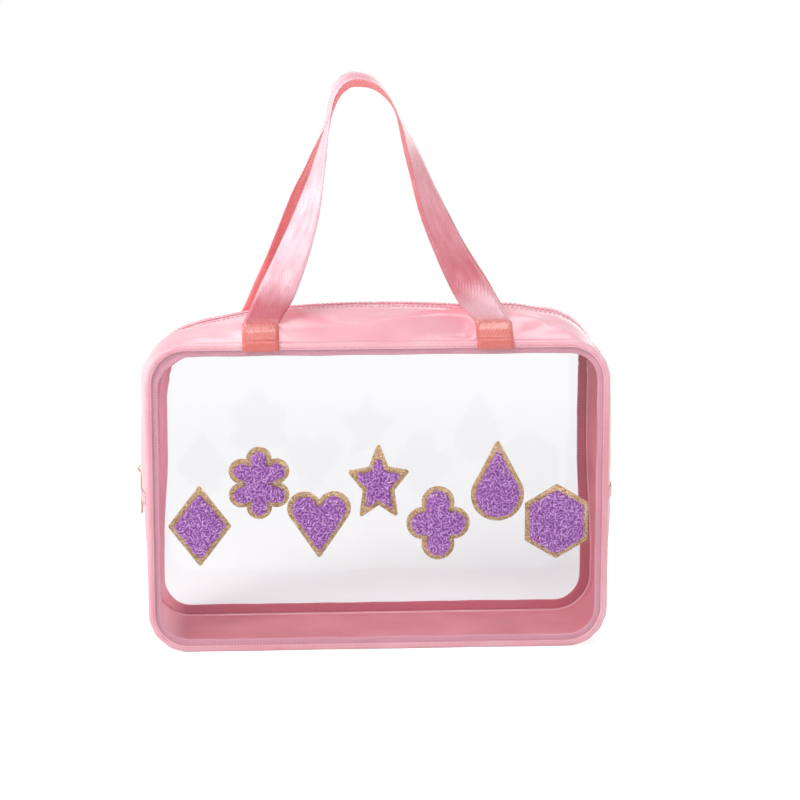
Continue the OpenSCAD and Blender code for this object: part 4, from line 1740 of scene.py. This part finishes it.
@dataclass(frozen=True)
class Handle:
    """A loop of satin webbing that is sewn into the seam, lies over the rim and stands up."""

    form: CaseForm
    half: Half
    width: float = 25.0
    thick: float = 1.4
    spacing: float = 160.0
    lift_y: float = -27.0
    hinge_z: float = 227.065
    rise: float = 163.5
    lean: float = -12.0
    grip_y: float = 13.5
    turn: float = 107.0
    left_rate: float = 2.0
    right_rate: float = 1.5
    left_knee: tuple[float, float] = (0.156, 0.61)
    right_knee: tuple[float, float] = (0.125, 0.49)
    left_crown: float = 29.5
    right_crown: float = 40.0
    cols: int = 11
    split_y: float = -34.0  # where the loop's own strip ends and the sewn end begins
    bend_y: float = -30.5  # where the webbing starts to turn up
    bend_h: float = 4.2  # how far over the hinge the turn ends
    foot_gap: float = 0.15
    rim_gap: float = 0.2
    ripple: float = 0.55
    fine_ripple: float = 0.22
    slack: float = 5.0  # of the back handle's left leg

    def build(self) -> None:
        """Builds the handle's loop and its two sewn ends."""
        loop = self.loop_grid()
        self.weave(f"webbing_loop_{self.half.word}", loop, True)
        for side in Side:
            self.weave(f"webbing_end_{self.half.word}_{side.word}", self.end_grid(side), False)
        LOG.info("handle: %s", self.half.word)

    def across(self) -> Array:
        """Places across the webbing."""
        return np.linspace(-self.width / 2, self.width / 2, self.cols)

    def leg(self, side: Side) -> Array:
        """Control points of one leg's curve, from its foot to the top of the loop."""
        s, (knee, height) = side.value, self.knee(side)
        crown = self.left_crown if side is Side.LEFT else self.right_crown
        return np.array(
            [
                [s * self.spacing / 2, self.lift_y, self.hinge_z],
                [s * knee, self.lift_y, self.hinge_z + height],
                [self.lean + s * crown, -self.grip_y, self.hinge_z + self.rise],
                [self.lean, -self.grip_y, self.hinge_z + self.rise],
            ]
        )

    def knee(self, side: Side) -> tuple[float, float]:
        """Where a leg heads as it leaves its foot: distance from the middle, and height."""
        share, height = self.left_knee if side is Side.LEFT else self.right_knee
        return share * self.spacing, height * self.rise

    def section(self, t: float) -> Array:
        """A row of points across the webbing, at t from -1 at the left foot to 1 at the right."""
        side = Side.LEFT if t < 0 else Side.RIGHT
        p, u = self.leg(side), 1 - abs(t)
        v = 1 - u
        middle = v**3 * p[0] + 3 * v * v * u * p[1] + 3 * v * u * u * p[2] + u**3 * p[3]
        heading = 3 * v * v * (p[1] - p[0]) + 6 * v * u * (p[2] - p[1]) + 3 * u * u * (p[3] - p[2])
        ahead = unit(-side.value * heading)
        rate = self.left_rate if side is Side.LEFT else self.right_rate
        turn = math.radians(self.turn) * (1 - (1 - u) ** rate)
        outward = unit(np.cross(ahead, [0.0, 1.0, 0.0]))
        rearward = np.cross(outward, ahead)
        blend = float(ease(u / 0.12))
        wide = unit(
            blend * (math.cos(turn) * outward + math.sin(turn) * rearward)
            + (1 - blend) * np.array([side.value, 0.0, 0.0])
        )
        face = unit(np.cross(ahead, wide))
        row = middle + wide * self.across()[:, None]
        edge = self.across() / (self.width / 2)
        cup = 0.5 * math.sin(math.pi * min(1.0, u * 3)) * (1 - edge**2)
        ripple = [
            self.ripple * noise.noise(Vector((t * 9, a / 15, 2.0)))
            + self.fine_ripple * noise.noise(Vector((t * 26 + a / 9, a / 30, 5.0)))
            for a in self.across()
        ]
        if self.half is Half.BACK and side is Side.LEFT:
            row[:, 0] -= self.slack * math.sin(math.pi * min(1.0, u / 0.62)) ** 2
        fade = float(ease((u - 0.02) / 0.1))
        return row + face * ((np.array(ripple) * fade + cup)[:, None])

    def foot_row(self, side: Side, y: float) -> Array:
        """A row of the webbing where it lies on the gusset, at depth y."""
        x = side.value * (self.spacing / 2 + self.across())
        d = self.form.upper_run - np.abs(x)
        out, _ = self.form.skin(
            self.form.upper(d, side), np.array([y]), self.foot_gap + self.thick / 2
        )
        return out[:, 0]

    def bend_rows(self, side: Side) -> list[Array]:
        """The rows that turn up from the gusset into the standing leg."""
        base = self.foot_row(side, self.bend_y)
        slope = (base - self.foot_row(side, self.bend_y - 1))[:, 2]
        knee, height = self.knee(side)
        lead = (self.spacing / 2 - knee) / height
        corner = base[:, 2] + slope * (self.lift_y - self.bend_y)
        top_z = self.hinge_z + self.bend_h
        rows = []
        for t in np.linspace(0, 1, 8)[:-1]:
            y = (1 - t) ** 2 * self.bend_y + 2 * t * (1 - t) * self.lift_y + t * t * self.lift_y
            z = (1 - t) ** 2 * base[:, 2] + 2 * t * (1 - t) * corner + t * t * top_z
            row = base.copy()
            row[:, 1] = y
            row[:, 2] = z
            row[:, 0] -= side.value * lead * np.maximum(z - self.hinge_z, 0)
            rows.append(row)
        return rows

    def loop_grid(self) -> Array:
        """The webbing's middle from one foot over the loop to the other."""
        first, last = (self.bend_h / (3 * self.knee(side)[1]) for side in Side)
        legs = [self.section(t) for t in np.linspace(first - 1, 1 - last, 170)]
        depths = np.linspace(self.split_y, self.bend_y - 0.4, 4)
        left, right = (
            [self.foot_row(side, y) for y in depths] + self.bend_rows(side) for side in Side
        )
        return self.placed(np.array(left + legs + right[::-1]))

    def end_grid(self, side: Side) -> Array:
        """The webbing's sewn end, from the seam at the lip's edge over the rim to the gusset."""
        half_depth, top = self.form.depth / 2, self.form.height
        lift = self.rim_gap + self.thick / 2
        x = side.value * (self.spacing / 2 + self.across())
        bulge, centre = 0.35, 2.0  # how far the rim puffs out, and its round edge's centre
        radius = centre + bulge + lift
        front = [(-half_depth - bulge - lift, top - drop) for drop in (4.8, 4.0, 3.2, 2.5)]
        arc = [
            (-half_depth + centre - radius * math.cos(a), top - centre + radius * math.sin(a))
            for a in np.radians(np.linspace(8, 82, 7))
        ]
        rows = [
            np.stack([x, np.full(len(x), y), np.full(len(x), z)], axis=1)
            for y, z in front + arc + [(-41.6, top + 0.4 + lift)]
        ]
        for y in np.linspace(-40.2, self.split_y, 6):
            row = self.foot_row(side, y)
            row[:, 2] = np.maximum(row[:, 2], top + 0.4 + lift)
            rows.append(row)
        return self.placed(np.array(rows))

    def placed(self, grid: Array) -> Array:
        """Mirrors a grid to the handle's own half of the case."""
        if self.half is Half.BACK:
            grid = grid * np.array([1.0, -1.0, 1.0])
        return grid

    def weave(self, name: str, grid: Array, standing: bool) -> None:
        """Gives the webbing its thickness and hides the nodes that it stands for."""
        outward = np.array([0.0, self.half.value * 0.3, 1.0])
        piece = ribbon(
            name,
            grid,
            self.thick,
            [WEBBING if standing else WEBBING_PRESSED, WEBBING_BACK],
            outward,
        )
        sign, word = self.half.value, self.half.word
        if standing:
            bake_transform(piece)
            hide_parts(f"handle_{word}", f"handle_{word}_feet")
        else:
            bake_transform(piece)
            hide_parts(f"handle_{word}_tucks")


def ribbon(
    name: str, grid: Array, thick: float, finishes: Sequence[Finish], outward: Array
) -> Piece:
    """Makes a closed ribbon about a twisting grid, whose sides keep their order along its run.

    Args:
        name: The piece's name.
        grid: The ribbon's middle in millimetres, as (run, width, 3).
        thick: Its thickness.
        finishes: The finish of its outer face and of its inner face.
        outward: The way that its outer face looks at its first rows.

    Returns:
        The piece.
    """
    along = np.gradient(grid, axis=0)
    wide = np.gradient(grid, axis=1)
    normal = unit(np.cross(along, wide))
    if float((normal[:3] @ outward).mean()) < 0:
        return ribbon(name, grid[:, ::-1], thick, finishes, outward)
    cols = grid.shape[1]
    share = np.ones(cols)
    share[[0, -1]] = 0.35
    share[[1, -2]] = 0.85
    offset = normal * (thick / 2 * share)[None, :, None]
    loops = np.concatenate([grid + offset, (grid - offset)[:, ::-1]], axis=1)
    across = mean_widths(grid)
    kinds = [0] * cols + [1] * (cols - 1) + [0]
    return loft(
        name,
        loops,
        finishes,
        np.concatenate([across, across[::-1]]),
        segment_finish=kinds,
        from_both_ends=True,
    )


@dataclass(frozen=True)
class Patches:
    """The seven chenille patches: a glitter backing with a raised looped pile."""

    count: int = 7
    voxel: float = 0.8
    loop_pitch: float = 2.25
    loop_r: float = 1.05
    yarn_r: float = 0.52
    row_ratio: float = 0.87  # rows stand closer than loops, as in a honeycomb
    jitter: float = 0.3
    sunk: float = 0.25

    def build(self) -> None:
        """Builds the patches one after another."""
        for number in range(1, self.count + 1):
            backing = rounded_copy(
                f"patch_{number}_backing", f"glitter_backing_{number}", GLITTER, 0.35, "case"
            )
            backing.data.materials.append(FELT.material())
            for face in backing.data.polygons:
                face.material_index = int(face.normal.y > 0.7)
            base = self.pillow(number)
            self.loops(number, base)
            LOG.info("patch %d", number)

    def pillow(self, number: int) -> Piece:
        """The pile's soft body, under its loops, in a darker copy of the yarn: painted shade
        between them.
        """
        node = f"patch_{number}_pile"
        piece = linked(f"pile_body_{number}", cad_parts[node].data.copy())
        remesh = piece.modifiers.new("soften", "REMESH")
        remesh.mode = "VOXEL"
        remesh.voxel_size = self.voxel * MM
        smooth = piece.modifiers.new("relax", "SMOOTH")
        smooth.factor = 0.6
        smooth.iterations = 7
        baked(piece)
        piece.data.materials.clear()
        piece.data.materials.append(PILE_PAINTED_SHADE.material())
        piece.data.polygons.foreach_set("use_smooth", [True] * len(piece.data.polygons))
        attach(piece, "case")
        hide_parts(node)
        return piece

    def loops(self, number: int, base: Piece) -> None:
        """The yarn loops that stand on the pile, each turned its own way."""
        low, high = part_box(f"patch_{number}_pile")
        tree = BVHTree.FromObject(base, bpy.context.evaluated_depsgraph_get())
        rng = np.random.default_rng(100 + number)
        origins, frames, scales = [], [], []
        pitch = self.loop_pitch * MM
        rows = int((high.z - low.z) / (pitch * self.row_ratio)) + 2
        for i in range(rows):
            z = low.z + (i + 0.2) * pitch * self.row_ratio
            for x in np.arange(low.x - pitch + (i % 2) * pitch / 2, high.x + pitch, pitch):
                jx, jz, spin, lean, size = rng.uniform(-1, 1, 5)
                start = Vector(
                    (x + jx * pitch * self.jitter, low.y - 0.01, z + jz * pitch * self.jitter)
                )
                hit, normal, _, _ = tree.ray_cast(start, Vector((0, 1, 0)), 0.03)
                if hit is None or normal.y > -0.12:
                    continue
                up = np.array(normal)
                side = unit(np.cross(up, [math.cos(spin * math.pi), 0.0, math.sin(spin * math.pi)]))
                up = unit(up + side * lean * 0.45)
                ahead = unit(np.cross(side, up))
                side = np.cross(up, ahead)
                origins.append(np.array(hit) / MM - up * self.sunk)
                frames.append(np.stack([ahead, side, up], axis=1))
                scales.append([1 + 0.18 * size, 1.0, 0.85 + 0.2 * lean])
        arc = np.linspace(-0.15, math.pi + 0.15, 8)
        centres = np.stack(
            [-np.cos(arc) * self.loop_r, 0.18 * np.sin(arc * 2), np.sin(arc) * self.loop_r], axis=1
        )
        template = self.arch(centres)
        piece = scatter(
            f"pile_loops_{number}",
            template,
            np.array(frames),
            np.array(origins),
            PILE,
            np.array(scales),
        )
        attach(piece, "case")

    def arch(self, centres: Array) -> tuple[Array, list]:
        """A closed tube along an arch that stands in X and Z."""
        ahead = unit(np.gradient(centres, axis=0))
        side = np.tile([0.0, 1.0, 0.0], (len(centres), 1))
        up = unit(np.cross(ahead, side))
        sides = 6
        points = []
        for c, s, u, a in zip(centres, side, up, np.linspace(0, math.pi, len(centres))):
            r = self.yarn_r * (0.85 + 0.2 * math.sin(a))
            points += [
                c + s * math.cos(b) * r + u * math.sin(b) * r
                for b in np.arange(sides) * 2 * math.pi / sides
            ]
        return np.array(points), tube_faces(len(centres), sides)


@dataclass(frozen=True)
class Lamp:
    """A soft rectangular lamp, in metres and watts, aimed at a height over the origin."""

    name: str
    place: tuple[float, float, float]
    aim_z: float
    size: tuple[float, float]
    power: float

    def build(self) -> None:
        """Hangs the lamp."""
        data = bpy.data.lights.new(self.name, "AREA")
        data.shape = "RECTANGLE"
        data.size, data.size_y = self.size
        data.energy = self.power
        lamp = linked(self.name, data)
        lamp.location = self.place
        way = Vector((0, 0, self.aim_z)) - Vector(self.place)
        lamp.rotation_euler = way.to_track_quat("-Z", "Y").to_euler()


@dataclass(frozen=True)
class Studio:
    """The pale sweep, the soft lamps and the camera at the photograph's viewing angle."""

    azimuth: float = -3.2
    elevation: float = 12.2
    distance: float = 2.0
    aim: tuple[float, float, float] = (0.0172, 0.0, 0.1674)
    field_of_view: float = 15.92
    ambient: float = 0.32
    floor_half_mm: float = 6000.0
    floor_drop_mm: float = 0.25
    lamps: tuple[Lamp, ...] = (
        Lamp("key_softbox", (-0.8, -0.9, 1.5), 0.2, (0.8, 0.8), 10),
        Lamp("left_softbox", (-1.25, -0.1, 0.6), 0.26, (2.4, 1.15), 12),
        Lamp("front_fill", (0.5, -1.95, 0.5), 0.2, (0.8, 0.6), 5),
        Lamp("right_softbox", (1.4, 0.15, 0.7), 0.2, (1.3, 1.3), 4),
        Lamp("back_fill", (0.6, 1.8, 0.5), 0.15, (1.5, 1.0), 2.5),
        Lamp("top_softbox", (0.1, 0.3, 1.8), 0.2, (0.8, 0.8), 7),
    )

    def build(self) -> None:
        """Sets up floor, lamps, world and camera."""
        self.floor()
        self.world()
        for lamp in self.lamps:
            lamp.build()
        self.camera()
        bpy.context.scene.view_settings.view_transform = "Standard"

    def floor(self) -> None:
        """A wide flat sheet of paper, just under the case."""
        corners = ((-1, -1), (1, -1), (1, 1), (-1, 1))
        size, drop = self.floor_half_mm, self.floor_drop_mm
        points = np.array([(x * size, y * size, -drop) for x, y in corners])
        paper = make_object("paper_floor", points, [(0, 1, 2, 3)], [PaperSweep()], smooth=False)

    def world(self) -> None:
        """White to the camera, gloss and film, and a soft even light on the case."""
        world = bpy.data.worlds.new("studio_white")
        bpy.context.scene.world = world
        world.use_nodes = True
        tree = world.node_tree
        tree.nodes.clear()
        rays = add_node(tree, "LightPath").outputs
        seen = rays["Is Camera Ray"]
        for ray in ("Is Glossy Ray", "Is Transmission Ray"):
            seen = add_node(tree, "Math", {0: seen, 1: rays[ray]}, operation="MAXIMUM").outputs[0]
        light, white = (
            add_node(
                tree, "Background", {"Color": linear(WHITE), "Strength": strength}
            ).outputs["Background"]
            for strength in (self.ambient, 1.0)
        )
        mix = add_node(tree, "MixShader", {0: seen, 1: light, 2: white}).outputs["Shader"]
        add_node(tree, "OutputWorld", {"Surface": mix})

    def camera(self) -> None:
        """The camera, in front of the case and a little above it."""
        data = bpy.data.cameras.new("camera")
        data.sensor_fit = "HORIZONTAL"
        data.angle = math.radians(self.field_of_view)
        camera = linked("camera", data)
        az, el = math.radians(self.azimuth), math.radians(self.elevation)
        aim = Vector(self.aim)
        away = Vector((math.sin(az) * math.cos(el), -math.cos(az) * math.cos(el), math.sin(el)))
        camera.location = aim + away * self.distance
        camera.rotation_euler = (-away).to_track_quat("-Z", "Y").to_euler()
        bpy.context.scene.camera = camera


def main() -> None:
    """Builds the case's dressing and its studio, in order."""
    logging.basicConfig(level=logging.INFO, format="%(name)s: %(message)s")
    form = CaseForm()
    body = SewnBody(form)
    body.build()
    Windows(form).build()
    ZipChain(form, body).build()
    for half in Half:
        Handle(form, half).build()
    Patches().build()
    Studio().build()


if __name__ == "__main__":
    main()
